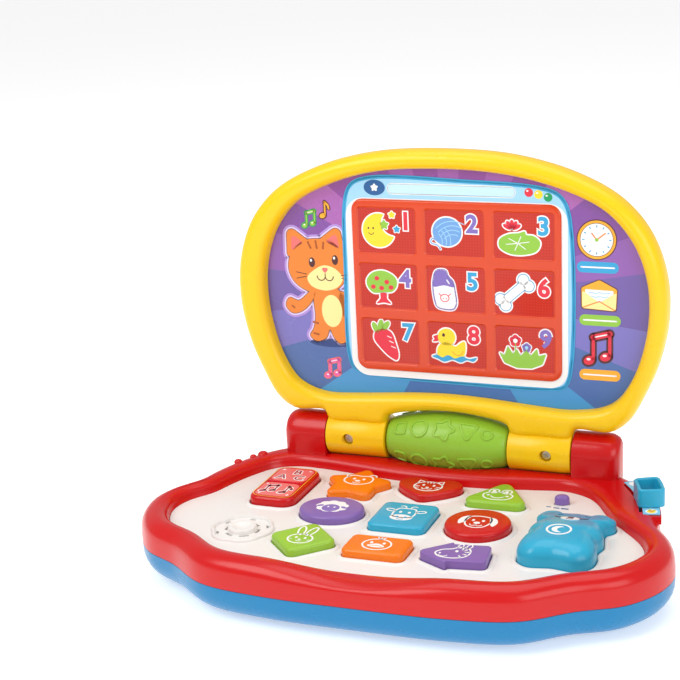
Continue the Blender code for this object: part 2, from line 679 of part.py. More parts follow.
def make_side_slider():
    """A square collar on the rim with a foot under it, about the centre of its arc."""
    middle = (TRACK_IN + SLIDER_OUT) / 2
    half = math.degrees(SLIDER_LENGTH / 2 / middle)
    wall = math.degrees(SLIDER_WALL / middle)
    low = BED_TOP + 1.3
    track = new_frame("slider_track", (*TRACK_MID, 0), parent=base_frame)
    around = (0, 0)
    outer = arc_band(TRACK_IN + 0.1, SLIDER_OUT, SLIDER_AT - half, SLIDER_AT + half, 4, around)
    collar = add_object("side_slider", prism(outer, low, SLIDER_TOP), "light_blue", track)
    inner = arc_band(TRACK_IN + SLIDER_WALL, SLIDER_OUT - SLIDER_WALL, SLIDER_AT - half + wall,
                     SLIDER_AT + half - wall, 4, around)
    stem = arc_band(TRACK_IN + 0.55, TRACK_IN + 1.85, SLIDER_AT - 3, SLIDER_AT + 3, 2, around)
    foot = arc_band(TRACK_IN - 2.5, TRACK_IN + 5, SLIDER_AT - 3.3, SLIDER_AT + 3.3, 2, around)
    boolean(collar, add_tool("slider_stem", prism(stem, BED_LOW - 1, low + 1), track), "UNION")
    boolean(collar, add_tool("slider_foot", prism(foot, BED_LOW - GAP - 1.6, BED_LOW - GAP), track), "UNION")
    boolean(collar, add_tool("slider_window", prism(inner, low - 1, SLIDER_TOP + 1), track),
            "DIFFERENCE")
    strip = arc_band(TRACK_IN + 2.4, TRACK_OUT - 0.6, TRACK_FROM, TRACK_TO)
    add_object("picture_strip", prism(strip, BED_TOP + GAP, BED_TOP + 0.9), "strip", base_frame)


def make_carry_handle():
    """A bent tube whose ends reach into the case, each with a collar inside the wall."""
    half = HANDLE_PATH
    path = half + [(-x, y) for x, y in reversed(half[:-1])]
    curve = bpy.data.curves.new("carry_handle", "CURVE")
    curve.dimensions = "3D"
    curve.bevel_depth = HANDLE_R * MM
    curve.bevel_resolution = 3
    curve.use_fill_caps = True
    spline = curve.splines.new("POLY")
    spline.points.add(len(path) - 1)
    for point, (x, y) in zip(spline.points, path):
        point.co = (x * MM, y * MM, HANDLE_Z * MM, 1)
    guide = bpy.data.objects.new("handle_curve", curve)
    parts.objects.link(guide)
    graph = bpy.context.evaluated_depsgraph_get()
    mesh = bpy.data.meshes.new_from_object(guide.evaluated_get(graph))
    bm = bmesh.new()
    bm.from_mesh(mesh)
    bmesh.ops.remove_doubles(bm, verts=bm.verts, dist=0.00001)
    bmesh.ops.scale(bm, vec=(1 / MM, 1 / MM, 1 / MM), verts=bm.verts)
    bpy.data.objects.remove(guide, do_unlink=True)
    handle = add_object("carry_handle", bm, "blue", base_frame)
    y = HANDLE_PATH[0][1]
    collars = [cylinder(COLLAR_R, y + 0.5, y + 0.5 + COLLAR_THICK,
                        (side * HANDLE_PATH[0][0], HANDLE_Z), 16, "Y") for side in (-1, 1)]
    boolean(handle, add_tool("handle_collars", joined(*collars), base_frame), "UNION")


def make_battery_parts():
    door = prism(rounded(rectangle(60, 46, (0, BATTERY_Y + 5)), 3, 3), FOOT_HEIGHT, 4.3)
    door = add_object("battery_door", door, "blue", base_frame)
    sink = turned([(2.9, 1), (2.9, 3.1), (1.7, 3.1), (1.7, 5)])
    bmesh.ops.translate(sink, vec=(0, BATTERY_Y + 23.5, 0), verts=sink.verts)
    boolean(door, add_tool("door_sink", sink, base_frame), "DIFFERENCE")
    screw = turned([(2.5, 2.1), (2.5, 2.8), (0.95, 2.8), (0.95, 13), (0.3, 14.5)], 12)
    add_object("battery_door_screw", screw, "steel", base_frame, (0, BATTERY_Y + 23.5, 0))
    for k, y in enumerate((BATTERY_Y - 7.5, BATTERY_Y + 7.5), start=1):
        way = 1 if k == 1 else -1
        half = CELL_LENGTH / 2
        cell = turned([(CELL_R, -half), (CELL_R, half - 1), (2.7, half - 1), (2.7, half)], 18, "X")
        turn = (0, 0, 0 if way > 0 else 180)
        add_object(f"battery_{k}", cell, "cell", base_frame, (0, y, CELL_Z), turn)
    for side, name in ((-1, "left"), (1, "right")):
        near, far = CELL_LENGTH / 2 + GAP, 28.0
        low_x, high_x = sorted((side * near, side * far))
        contact = box((low_x, BATTERY_Y - 14.5, 6), (high_x, BATTERY_Y + 14.5, 18))
        add_object(f"battery_contact_{name}", contact, "steel", base_frame)


def make_inside_parts():
    x, y = BOARD_HALF
    board = prism(rounded(rectangle(2 * x, 2 * y, (0, BOARD_MID_Y)), 6, 3), BOARD_LOW,
                  BOARD_LOW + BOARD_THICK)
    add_object("main_board", board, "board", base_frame)
    low = BOARD_LOW + BOARD_THICK + GAP
    membrane = prism(rounded(rectangle(2 * x - 4, 2 * y - 4, (0, BOARD_MID_Y)), 6, 3), low, low + 0.8)
    membrane = add_object("key_membrane", membrane, "silicone", base_frame)
    domes = [cylinder(4.5, low + 0.4, low + 1.0, mid, 8) for _, mid in key_shapes().values()]
    boolean(membrane, add_tool("membrane_domes", joined(*domes), base_frame), "UNION")
    top = PLATE_TOP - PLATE_THICK - GAP
    cone = turned([(SPEAKER_R, top), (SPEAKER_R, top - 2), (SPEAKER_R - 5, top - 7),
                   (9.5, top - 7.5), (9.5, top - 12)][::-1], 24)
    add_object("speaker", cone, "rubber", base_frame, (*SPEAKER_MID, 0))


def make_small_parts():
    for k, place in enumerate(FOOT_PLACES, start=1):
        foot = turned([(5.2, 0), (6, 0.5), (6, FOOT_HEIGHT - GAP)], 16)
        add_object(f"foot_{k}", foot, "rubber", base_frame, (*place, 0))
    for k, place in enumerate(screw_places(), start=1):
        screw = turned([(3.2, 12.3), (3.2, 14), (1.45, 14), (1.45, 26), (0.5, 27)], 10)
        add_object(f"casing_screw_{k}", screw, "steel", base_frame, (*place, -2 - GAP))
    for side, name in ((-1, "left"), (1, "right")):
        ends = sorted((side * PIN_INNER, side * PIN_OUTER))
        pin = cylinder(PIN_R, *ends, sides=16, axis="X")
        add_object(f"hinge_pin_{name}", pin, "steel", base_frame, (0, HINGE_Y, HINGE_Z))


def half_barrel(low_x, high_x, front):
    """Half of a hinge barrel on the X axis: the half at -Z with front, else the half at +Z."""
    way = -1 if front else 1
    ring = [(BARREL_R * math.cos(a), way * (BARREL_R * math.sin(a) + (GAP if front else 0)))
            for a in (math.pi * k / 12 for k in range(13))]
    if front:
        ring = [(y, max(z, -BARREL_R)) for y, z in ring]
    return loft([[(x, y, z) for y, z in ring] for x in (low_x, high_x)])


def barrel_spans():
    return [sorted((side * BARREL_IN, side * BARREL_OUT)) for side in (-1, 1)]


def shaft_bores():
    """The bores in the barrels for the hinge pins and the roller's axle."""
    bores = []
    for side in (-1, 1):
        bores.append(cylinder(PIN_HOLE_R, *sorted((side * (PIN_INNER - GAP), side * 79)),
                              sides=16, axis="X"))
        bores.append(cylinder(PIN_HOLE_R, *sorted((side * 36, side * (AXLE_HALF + GAP))),
                              sides=16, axis="X"))
    return bores


def make_lid_back_shell():
    inner = [("o", 9.6, 5.8), ("o", 5.4, 5.2), ("o", 3.0, 3.4), ("o", WALL, 0)]
    outer = [("o", 0, 0), ("o", 0.8, 4.2), ("o", 3.4, 7.0), ("o", 9, LID_OUTER)]
    shell = add_object("lid_back_shell", loft([lid_ring(*p) for p in inner + outer]), "yellow",
                       lid_frame)
    barrels = [half_barrel(*span, False) for span in barrel_spans()]
    posts = [cylinder(4, 5.2, 6.6, (SCREEN_X + x, -SCREEN_V + y), 12)
             for x in (-58, 58) for y in (-46, 46)]
    boolean(shell, add_tool("back_adds", joined(*barrels, *posts), lid_frame), "UNION")
    pilots = [cylinder(1.75, -1, 9.4, (side * 62, 0), 10) for side in (-1, 1)]
    boolean(shell, add_tool("back_cuts", joined(*shaft_bores(), *pilots), lid_frame), "DIFFERENCE")


def make_lid_bezel():
    profile = [("o", 0, -GAP), ("o", 0.8, -5.2), ("o", 2.4, -8.8), ("o", 4.6, LID_CREST),
               ("i", 3.6, LID_CREST), ("i", 1.2, -8), ("i", 0, -2.5), ("i", 2, -2.5),
               ("i", 2.9, -7), ("i", 4.2, -8.2), ("o", 4.6, -8.2), ("o", 2.5, -GAP)]
    bezel = add_object("lid_bezel", loft([lid_ring(*p) for p in profile], ends=False), "yellow",
                       lid_frame)
    barrels = [half_barrel(*span, True) for span in barrel_spans()]
    boolean(bezel, add_tool("bezel_adds", joined(*barrels), lid_frame), "UNION")
    sinks = []
    for side in (-1, 1):
        sink = turned([(3.6, -14), (3.6, -8.6), (1.9, -8.6), (1.9, 0.5)])
        bmesh.ops.translate(sink, vec=(side * 62, 0, 0), verts=sink.verts)
        sinks.append(sink)
    boolean(bezel, add_tool("bezel_cuts", joined(*shaft_bores(), *sinks), lid_frame), "DIFFERENCE")


def screen_outline(margin, radius=7.0):
    outline = rectangle(SCREEN_W + 2 * margin, SCREEN_H + 2 * margin, (SCREEN_X, -SCREEN_V))
    return rounded(outline, radius, 4)


def screen_cells():
    """The middles of the nine cells, row by row."""
    return [(SCREEN_X + column * CELL_PITCH_X, -SCREEN_V + row * CELL_PITCH_V)
            for row in (-1, 0, 1) for column in (-1, 0, 1)]


def make_lid_parts():
    label_edge = [(x, -v) for x, v in between(lid_edge, window_edge, "i", 2.3)]
    label = prism(label_edge, LABEL_FRONT, LABEL_FRONT + LABEL_THICK)
    label = add_object("lid_label", label, "label", lid_frame)
    hole = prism(screen_outline(GAP), LABEL_FRONT - 1, LABEL_FRONT + LABEL_THICK + 1)
    boolean(label, add_tool("label_hole", hole, lid_frame), "DIFFERENCE")
    low = LABEL_FRONT + LABEL_THICK + GAP
    lens = stepped([(screen_outline(-1), LABEL_FRONT - SCREEN_PROUD),
                    (screen_outline(0), LABEL_FRONT - SCREEN_PROUD + 1), (screen_outline(0), low),
                    (screen_outline(2.6), low), (screen_outline(2.6), low + 1.1)])
    lens = add_object("screen_lens", lens, "lens", lid_frame)
    pockets = [prism(rectangle(CELL_W, CELL_H, mid), -6, -3.2) for mid in screen_cells()]
    boolean(lens, add_tool("lens_cells", joined(*pockets), lid_frame), "DIFFERENCE")
    back = low + 1.1 + GAP
    tray = prism(screen_outline(2.2), back, back + 2.8)
    tray = add_object("light_tray", tray, "white", lid_frame)
    lights = [prism(rectangle(CELL_W, CELL_H, mid), back - 1, back + 4) for mid in screen_cells()]
    boolean(tray, add_tool("tray_cells", joined(*lights), lid_frame), "DIFFERENCE")
    board = prism(screen_outline(2.2), back + 2.8 + GAP, 4.9)
    add_object("lid_board", board, "board", lid_frame)
    badge = prism(ellipse(BADGE_A, BADGE_B, 32, (0, -BADGE_V)), LID_OUTER + GAP, LID_OUTER + 1.1)
    add_object("lid_badge", badge, "strip", lid_frame)
    for side, name in ((-1, "left"), (1, "right")):
        screw = turned([(3.1, -10.6), (3.1, -8.9), (1.45, -8.9), (1.45, 7.5), (0.5, 8.6)], 10)
        add_object(f"barrel_screw_{name}", screw, "steel", lid_frame, (side * 62, 0, 0))
    add_object("roller_axle", cylinder(PIN_R, -AXLE_HALF, AXLE_HALF, sides=16, axis="X"), "steel",
               lid_frame)


def make_roller():
    outer = roller_profile()
    bore = [(PIN_HOLE_R, ROLLER_HALF), (PIN_HOLE_R, -ROLLER_HALF)]
    add_object("roller", turned_ring(outer + bore), "green", base_frame, (0, HINGE_Y, HINGE_Z))


clear_scene()
parts = new_collection("toy_laptop_computer")
tools = new_collection("cutters")
case_edge = smooth_closed(whole_outline(CASE_EDGE), EDGE_STEPS)
plate_edge = smooth_closed(whole_outline(PLATE_EDGE, PLATE_EDGE_LEFT_REAR), EDGE_STEPS)
lid_edge = smooth_closed(whole_outline(LID_EDGE), EDGE_STEPS)
window_edge = smooth_closed(whole_outline(WINDOW_EDGE), EDGE_STEPS)
base_frame = new_frame("base_frame", (0, DATUM_Y, 0))
lid_frame = new_frame("lid_frame", (0, HINGE_Y, HINGE_Z), (-OPEN_ANGLE, 0, 0), base_frame)
make_bottom_shell()
make_top_casing()
make_keyboard_plate()
make_keys()
make_mouse_key()
make_mode_rocker()
make_volume_slider()
make_side_slider()
make_carry_handle()
make_battery_parts()
make_inside_parts()
make_small_parts()
make_roller()
make_lid_back_shell()
make_lid_bezel()
make_lid_parts()
tools.hide_render = True
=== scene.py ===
import json
import math
from functools import cache
import bmesh
import bpy
from mathutils import Matrix, Vector
from mathutils.bvhtree import BVHTree


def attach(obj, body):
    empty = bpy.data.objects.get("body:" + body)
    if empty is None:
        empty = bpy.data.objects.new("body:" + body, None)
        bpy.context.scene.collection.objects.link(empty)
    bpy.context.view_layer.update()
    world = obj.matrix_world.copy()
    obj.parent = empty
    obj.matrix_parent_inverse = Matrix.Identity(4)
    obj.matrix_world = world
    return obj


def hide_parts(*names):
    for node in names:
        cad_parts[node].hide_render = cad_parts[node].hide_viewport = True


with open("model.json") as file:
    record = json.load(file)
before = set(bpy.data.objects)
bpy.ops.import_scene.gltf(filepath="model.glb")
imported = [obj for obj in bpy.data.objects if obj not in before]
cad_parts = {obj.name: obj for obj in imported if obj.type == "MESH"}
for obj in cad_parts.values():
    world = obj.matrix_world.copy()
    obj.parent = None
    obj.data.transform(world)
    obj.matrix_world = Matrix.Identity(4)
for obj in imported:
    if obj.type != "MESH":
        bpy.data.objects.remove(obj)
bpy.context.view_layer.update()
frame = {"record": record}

# Drawing is in millimetres in one of two frames: the case's, and the lid's with the lid closed and
# lying flat, its far edge at -Y. Both are placed by the hinge.
mm = 0.001
gap = 0.3
case = {"hingeY": 80.0, "plateTop": 31.0, "seam": 21.0, "crest": 38.2, "footHeight": 2.0,
    "scoopDepth": 5.0, "scoopHalf": 55.0, "smooth": 7, "rollerR": 18.6, "rollerEndR": 12.0,
    "rollerHalf": 37.6, "barrelR": 13.4, "barrelIn": 38.6, "barrelOut": 76.6, "blockR": 12.8,
    "blockIn": 77.4, "blockOut": 105.0, "troughGap": 0.8}
hinge = next(j for j in frame["record"]["behaviour"]["joints"] if j["name"] == "lid_hinge")
hingePlace = Vector(hinge["pos_m"])
openAngle = math.radians(hinge["range_deg"][1])
hingeZ = hingePlace.z / mm
toMetres = Matrix.Diagonal((mm, mm, mm, 1))
caseFrame = Matrix.Translation((0, hingePlace.y - case["hingeY"] * mm, 0)) @ toMetres
lidFrame = Matrix.Translation(hingePlace) @ Matrix.Rotation(-openAngle, 4, "X") @ toMetres
print("frame loaded")

# Plastics are (colour, roughness); inks are colours; grain is the noise scales of a surface.
paints = {"red": ((0.60, 0.003, 0.004), 0.24), "blue": ((0.0, 0.20, 0.44), 0.27),
    "yellow": ((0.96, 0.60, 0.004), 0.28), "white": ((0.83, 0.805, 0.775), 0.36),
    "orange": ((0.93, 0.20, 0.004), 0.27), "green": ((0.30, 0.56, 0.04), 0.28),
    "violet": ((0.23, 0.13, 0.42), 0.3), "sky": ((0.022, 0.39, 0.60), 0.24),
    "rubber": ((0.03, 0.03, 0.033), 0.7)}
inks = {"white": (0.90, 0.90, 0.89), "red": (0.76, 0.02, 0.05), "yellow": (0.95, 0.70, 0.02),
    "green": (0.28, 0.56, 0.05), "deepGreen": (0.0, 0.32, 0.10), "violet": (0.22, 0.15, 0.50),
    "blue": (0.16, 0.36, 0.72), "pale": (0.35, 0.66, 0.90), "navy": (0.01, 0.10, 0.30),
    "dark": (0.075, 0.012, 0.012), "orange": (0.90, 0.23, 0.02), "amber": (0.95, 0.42, 0.02),
    "pink": (0.85, 0.13, 0.42), "cream": (0.95, 0.80, 0.32), "rose": (0.82, 0.16, 0.15),
    "maroon": (0.36, 0.008, 0.02), "glow": (0.42, 0.26, 0.66), "picture": (0.24, 0.58, 0.80),
    "glowCore": (0.72, 0.60, 0.86), "sky": (0.03, 0.36, 0.66), "mist": (0.55, 0.80, 0.95),
    "shade": (0.02, 0.05, 0.20), "kitten": (0.80, 0.22, 0.02), "stripe": (0.45, 0.09, 0.01)}
grain = {"plastic": 900.0, "ink": 1400.0, "steel": 2400.0, "drift": 26.0, "depth": 0.0004}


def nodesOf(name):
    mat = bpy.data.materials.new(name)
    mat.use_nodes = True
    return mat, mat.node_tree, mat.node_tree.nodes["Principled BSDF"]


def wire(tree, socket, value):
    if isinstance(value, bpy.types.NodeSocket):
        tree.links.new(value, socket)
    else:
        socket.default_value = value


def addNode(tree, kind, inputs, **settings):
    # inputs are values or other nodes' outputs, by the socket's name or number
    node = tree.nodes.new(kind)
    for key, value in settings.items():
        setattr(node, key, value)
    for key, value in inputs.items():
        wire(tree, node.inputs[key], value)
    return node


def mathNode(tree, operation, *values):
    return addNode(tree, "ShaderNodeMath", dict(enumerate(values)), operation=operation).outputs[0]


def mapRange(tree, value, low, high, toLow, toHigh):
    return addNode(tree, "ShaderNodeMapRange", {"Value": value, "From Min": low, "From Max": high,
        "To Min": toLow, "To Max": toHigh}).outputs["Result"]


def dress(tree, shader, **values):
    for key, value in values.items():
        name = {"base": "Base Color", "coat": "Coat Weight", "coatRough": "Coat Roughness",
            "rough": "Roughness", "metal": "Metallic", "specular": "Specular IOR Level",
            "normal": "Normal", "inside": "Subsurface Weight", "glowColour": "Emission Color",
            "glow": "Emission Strength"}[key]
        wire(tree, shader.inputs[name], value)


def mixColours(tree, factor, first, second):
    ends = [(*c, 1) if isinstance(c, tuple) else c for c in (first, second)]
    return addNode(tree, "ShaderNodeMix", {0: factor, 6: ends[0], 7: ends[1]},
        data_type="RGBA").outputs[2]


def mould(tree, shader, roughness, bump=0.02, scale=grain["plastic"], spread=0.025):
    # moulded skin: a faint orange peel and a slow drift in the gloss
    where = tree.nodes.new("ShaderNodeTexCoord").outputs["Object"]
    peel, drift = (addNode(tree, "ShaderNodeTexNoise", {"Vector": where, "Scale": size,
        "Detail": detail}).outputs["Fac"] for size, detail in ((scale, 3.0), (grain["drift"], 4.0)))
    gloss = mapRange(tree, drift, 0.3, 0.7, roughness - spread, roughness + spread)
    height = addNode(tree, "ShaderNodeBump", {"Height": peel, "Strength": bump,
        "Distance": grain["depth"]})
    dress(tree, shader, rough=gloss, normal=height.outputs["Normal"])
    return where, drift


@cache
def plastic(name):
    # glossy coloured plastic, a touch deeper where the pigment has settled
    colour, roughness = paints[name]
    mat, tree, shader = nodesOf(name + "Plastic")
    drift = mould(tree, shader, roughness)[1]
    deep = tuple(c * 0.965 for c in colour)
    dress(tree, shader, base=mixColours(tree, drift, deep, colour), specular=0.38,
        coat=0.0 if name == "rubber" else 0.06, coatRough=0.12)
    return mat


@cache
def ink(name):
    # printed ink under a clear film, with a faint halftone
    colour = inks[name]
    mat, tree, shader = nodesOf("ink" + name[0].upper() + name[1:])
    where = mould(tree, shader, 0.32, 0.01, grain["ink"], 0.03)[0]
    dots = addNode(tree, "ShaderNodeTexVoronoi", {"Vector": where, "Scale": 2200.0})
    tone = mapRange(tree, dots.outputs["Distance"], 0.0, 1.0, 0.0, 0.25)
    pale = tuple(min(1.0, c * 1.1 + 0.015) for c in colour)
    dress(tree, shader, base=mixColours(tree, tone, colour, pale))
    return mat


@cache
def steelFinish():
    mat, tree, shader = nodesOf("platedSteel")
    mould(tree, shader, 0.34, 0.05, grain["steel"], 0.08)
    dress(tree, shader, base=(0.62, 0.60, 0.57, 1), metal=1.0)
    return mat


def boardFinish():
    # green solder mask with lighter tracks on a square grid
    mat, tree, shader = nodesOf("solderMask")
    where = mould(tree, shader, 0.4)[0]
    tracks = addNode(tree, "ShaderNodeTexBrick", {"Vector": where, "Scale": 120.0,
        "Color1": (0.01, 0.16, 0.05, 1), "Color2": (0.012, 0.19, 0.06, 1), "Mortar": (0.05, 0.30,
        0.12, 1)})
    dress(tree, shader, base=tracks.outputs["Color"])
    return mat


def cellJacket():
    # a dark sleeve with a copper end
    mat, tree, shader = nodesOf("cellJacket")
    where = mould(tree, shader, 0.3)[0]
    along = addNode(tree, "ShaderNodeSeparateXYZ", {0: where}).outputs["X"]
    copper = mathNode(tree, "GREATER_THAN", along, 0.008)
    dress(tree, shader, base=mixColours(tree, copper, (0.02, 0.025, 0.03), (0.45, 0.25, 0.06)))
    return mat


def siliconeFinish():
    mat, tree, shader = nodesOf("siliconeSheet")
    mould(tree, shader, 0.6)
    dress(tree, shader, base=(0.72, 0.72, 0.70, 1), inside=0.2)
    return mat


def loftRings(rings, capped=True):
    bm = bmesh.new()
    rows = [[bm.verts.new(point) for point in ring] for ring in rings]
    pairs = list(zip(rows, rows[1:]))
    if not capped:
        pairs.append((rows[-1], rows[0]))
    count = len(rows[0])
    for low, high in pairs:
        for k in range(count):
            after = (k + 1) % count
            bm.faces.new((low[k], low[after], high[after], high[k]))
    if capped:
        bm.faces.new(rows[0])
        bm.faces.new(rows[-1])
    bmesh.ops.recalc_face_normals(bm, faces=bm.faces)
    return bm


def level(outline, z):
    return [(x, y, z) for x, y in outline]


def stepped(steps):
    return loftRings([level(outline, z) for outline, z in steps])


def prism(outline, low, high):
    return stepped([(outline, low), (outline, high)])


def turned(profile, sides=48, axis="Z", capped=True):
    # profile is (radius, height) pairs
    rings = []
    for radius, height in profile:
        ring = []
        for k in range(sides):
            a = 2 * math.pi * k / sides
            u, v = radius * math.cos(a), radius * math.sin(a)
            ring.append({"X": (height, u, v), "Y": (v, height, u), "Z": (u, v, height)}[axis])
        rings.append(ring)
    return loftRings(rings, capped)


def quarterTurn(steps, first=1):
    # (across, up) shares along a quarter circle
    turns = (math.pi / 2 * k / steps for k in range(first, steps + 1))
    return [(1 - math.cos(t), math.sin(t)) for t in turns]


def moved(bm, x=0.0, y=0.0, z=0.0):
    bmesh.ops.translate(bm, vec=(x, y, z), verts=bm.verts)
    return bm


def meshOf(bm, name):
    mesh = bpy.data.meshes.new(name)
    bm.to_mesh(mesh)
    bm.free()
    return mesh


def pour(bm, mesh):
    bm.from_mesh(mesh)
    bpy.data.meshes.remove(mesh)
    return bm


def evaluated(piece):
    graph = bpy.context.evaluated_depsgraph_get()
    graph.update()
    return pour(bmesh.new(), bpy.data.meshes.new_from_object(piece.evaluated_get(graph)))


def together(pieces):
    whole = bmesh.new()
    for piece in pieces:
        pour(whole, meshOf(piece, "part"))
    return whole


def putInScene(name, mesh):
    piece = bpy.data.objects.new(name, mesh)
    bpy.context.scene.collection.objects.link(piece)
    return piece


def makePiece(name, bm, place, mats, body, sharp=38.0, replaced=()):
    # a finished piece: its mesh goes to metres and its place, and it rides on its body
    bm.transform(place)
    mesh = meshOf(bm, name)
    mesh.shade_smooth()
    mesh.set_sharp_from_angle(angle=math.radians(sharp))
    for mat in mats:
        mesh.materials.append(mat)
    piece = putInScene(name, mesh)
    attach(piece, body)
    if replaced:
        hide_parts(*replaced)


def carve(bm, jobs):
    # applies Boolean jobs, (tool, operation) pairs in the same frame, and returns a new bmesh
    body = putInScene("work", meshOf(bm, "work"))
    used = [body]
    for tool, operation in jobs:
        bmesh.ops.recalc_face_normals(tool, faces=tool.faces)
        step = body.modifiers.new(operation, "BOOLEAN")
        step.operation = operation
        step.object = putInScene("tool", meshOf(tool, "tool"))
        used.append(step.object)
    made = evaluated(body)
    for piece in used:
        bpy.data.objects.remove(piece, do_unlink=True)
    return made


def smoothClosed(points, steps):
    # a closed centripetal Catmull-Rom curve
    count = len(points)
    made = []
    for k in range(count):
        a, b, c, d = (Vector(points[(k + j) % count]) for j in (-1, 0, 1, 2))
        t1 = (b - a).length ** 0.5
        t2 = t1 + (c - b).length ** 0.5
        t3 = t2 + (d - c).length ** 0.5
        for step in range(steps):
            t = t1 + (t2 - t1) * step / steps
            ab = a.lerp(b, t / t1)
            bc = b.lerp(c, (t - t1) / (t2 - t1))
            cd = c.lerp(d, (t - t2) / (t3 - t2))
            abc, bcd = ab.lerp(bc, t / t2), bc.lerp(cd, (t - t1) / (t3 - t1))
            made.append(tuple(abc.lerp(bcd, (t - t1) / (t2 - t1))))
    return made


def curvePoint(before, a, b, after, t):
    # a point of the uniform Catmull-Rom curve from a to b
    return 0.5 * (2 * a + (b - before) * t + (2 * before - 5 * a + 4 * b - after) * t * t
                  + (3 * a - before - 3 * b + after) * t ** 3)


def wholeOutline(half, left=None):
    left = left or {}
    mirrored = [left.get(k, half[k]) for k in range(len(half) - 2, 0, -1)]
    return list(half) + [(-x, y) for x, y in mirrored]


def between(outer, inner, kind, distance):
    ring = []
    for edge, core in zip(outer, inner):
        start, end = Vector(edge), Vector(core)
        inward = (end - start).normalized()
        ring.append(tuple(start + inward * distance if kind == "o" else end - inward * distance))
    return ring


def signedArea(outline):
    return sum(a[0] * b[1] - b[0] * a[1] for a, b in zip(outline, outline[1:] + outline[:1])) / 2


def grown(outline, distance):
    side = 1 if signedArea(outline) > 0 else -1
    made = []
    for k, point in enumerate(outline):
        here = Vector(point)
        before = (here - Vector(outline[k - 1])).normalized()
        after = (Vector(outline[(k + 1) % len(outline)]) - here).normalized()
        normal = Vector((before.y + after.y, -before.x - after.x)) * side
        if normal.length < 1e-6:
            normal = Vector((before.y, -before.x)) * side
        normal.normalize()
        mitre = max(normal.dot(Vector((before.y, -before.x)) * side), 0.5)
        made.append(tuple(here + normal * distance / mitre))
    return made


def rounded(corners, radius, steps=8):
    made = []
    for k, corner in enumerate(corners):
        r = radius[k] if isinstance(radius, (list, tuple)) else radius
        here = Vector(corner)
        back = (Vector(corners[k - 1]) - here).normalized()
        ahead = (Vector(corners[(k + 1) % len(corners)]) - here).normalized()
        half = math.acos(max(-1, min(1, back.dot(ahead)))) / 2
        reach = r / math.tan(half)
        centre = here + (back + ahead).normalized() * r / math.sin(half)
        start, end = here + back * reach - centre, here + ahead * reach - centre
        first = math.atan2(start.y, start.x)
        sweep = math.atan2(end.y, end.x) - first
        sweep = (sweep + math.pi) % (2 * math.pi) - math.pi
        for step in range(steps):
            a = first + sweep * step / (steps - 1)
            made.append((centre.x + r * math.cos(a), centre.y + r * math.sin(a)))
    return made


def rectangle(width, height, centre=(0, 0)):
    x, y, w, h = *centre, width / 2, height / 2
    return [(x - w, y - h), (x + w, y - h), (x + w, y + h), (x - w, y + h)]


def ovalPoints(cx, cy, a, b=None, count=40, turn=0.0):
    b = a if b is None else b
    made = []
    for k in range(count):
        t = 2 * math.pi * k / count
        u, v = a * math.cos(t), b * math.sin(t)
        made.append((cx + u * math.cos(turn) - v * math.sin(turn),
            cy + u * math.sin(turn) + v * math.cos(turn)))
    return made


def arcPoints(cx, cy, r, fromDeg, toDeg, steps=16, ratio=1.0):
    return [(cx + r * math.cos(math.radians(fromDeg + (toDeg - fromDeg) * k / steps)),
             cy + r * ratio * math.sin(math.radians(fromDeg + (toDeg - fromDeg) * k / steps)))
            for k in range(steps + 1)]


def starPoints(cx, cy, outer, inner, corners=5, turn=0.0, soft=0.18):
    raw = []
    for k in range(2 * corners):
        r = outer if k % 2 == 0 else inner
        a = math.pi * k / corners + turn
        raw.append((cx + r * math.sin(a), cy + r * math.cos(a)))
    return rounded(raw, outer * soft, 4)


def bandPoints(rIn, rOut, fromDeg, toDeg, centre, steps=24):
    outer = arcPoints(*centre, rOut, fromDeg, toDeg, steps)
    inner = arcPoints(*centre, rIn, fromDeg, toDeg, steps)
    return outer + inner[::-1]


# Printing is thin raised shapes in coloured inks on a flat sheet, drawn face up.

def newSheet(step=0.05):
    return {"bm": bmesh.new(), "inks": [], "step": step}


def inkIndex(sheet, name):
    if name not in sheet["inks"]:
        sheet["inks"].append(name)
    return sheet["inks"].index(name)


def addTo(sheet, bm, name):
    for face in bm.faces:
        face.material_index = inkIndex(sheet, name)
    pour(sheet["bm"], meshOf(bm, "ink"))


def printShape(sheet, points, name, layer=1):
    addTo(sheet, prism(points, 0, layer * sheet["step"]), name)


def printLine(sheet, points, name, width, layer=1, closed=False):
    top = layer * sheet["step"]
    half = width / 2
    rings = []
    count = len(points)
    for k, point in enumerate(points):
        here = Vector(point)
        before = Vector(points[k - 1]) if k or closed else here
        after = Vector(points[(k + 1) % count]) if k < count - 1 or closed else here
        way = (after - before).normalized()
        side = Vector((-way.y, way.x)) * half
        a, b = here + side, here - side
        rings.append([(a.x, a.y, 0), (a.x, a.y, top), (b.x, b.y, top), (b.x, b.y, 0)])
    addTo(sheet, loftRings(rings, capped=not closed), name)
    if not closed:
        for end in (points[0], points[-1]):
            printShape(sheet, ovalPoints(*end, half, count=12), name, layer)


def printOval(sheet, x, y, a, b, count, name, layer=1):
    printShape(sheet, ovalPoints(x, y, a, b, count), name, layer)


def printArc(sheet, x, y, r, fromDeg, toDeg, steps, name, width, layer=1):
    printLine(sheet, arcPoints(x, y, r, fromDeg, toDeg, steps), name, width, layer)


def printDigit(sheet, body, x, y, size, name, fatten=0.0, layer=1):
    top = layer * sheet["step"]
    curve = bpy.data.curves.new("digit", "FONT")
    curve.body, curve.size, curve.offset, curve.extrude = body, size, fatten, top / 2
    curve.align_x = curve.align_y = "CENTER"
    curve.resolution_u = 4
    holder = putInScene("digit", curve)
    bm = evaluated(holder)
    bpy.data.objects.remove(holder, do_unlink=True)
    bmesh.ops.remove_doubles(bm, verts=bm.verts, dist=0.0001)
    addTo(sheet, moved(bm, x, y, top / 2), name)


def layDown(name, sheet, place, body):
    makePiece(name, sheet["bm"], place, [ink(n) for n in sheet["inks"]], body, sharp=30)


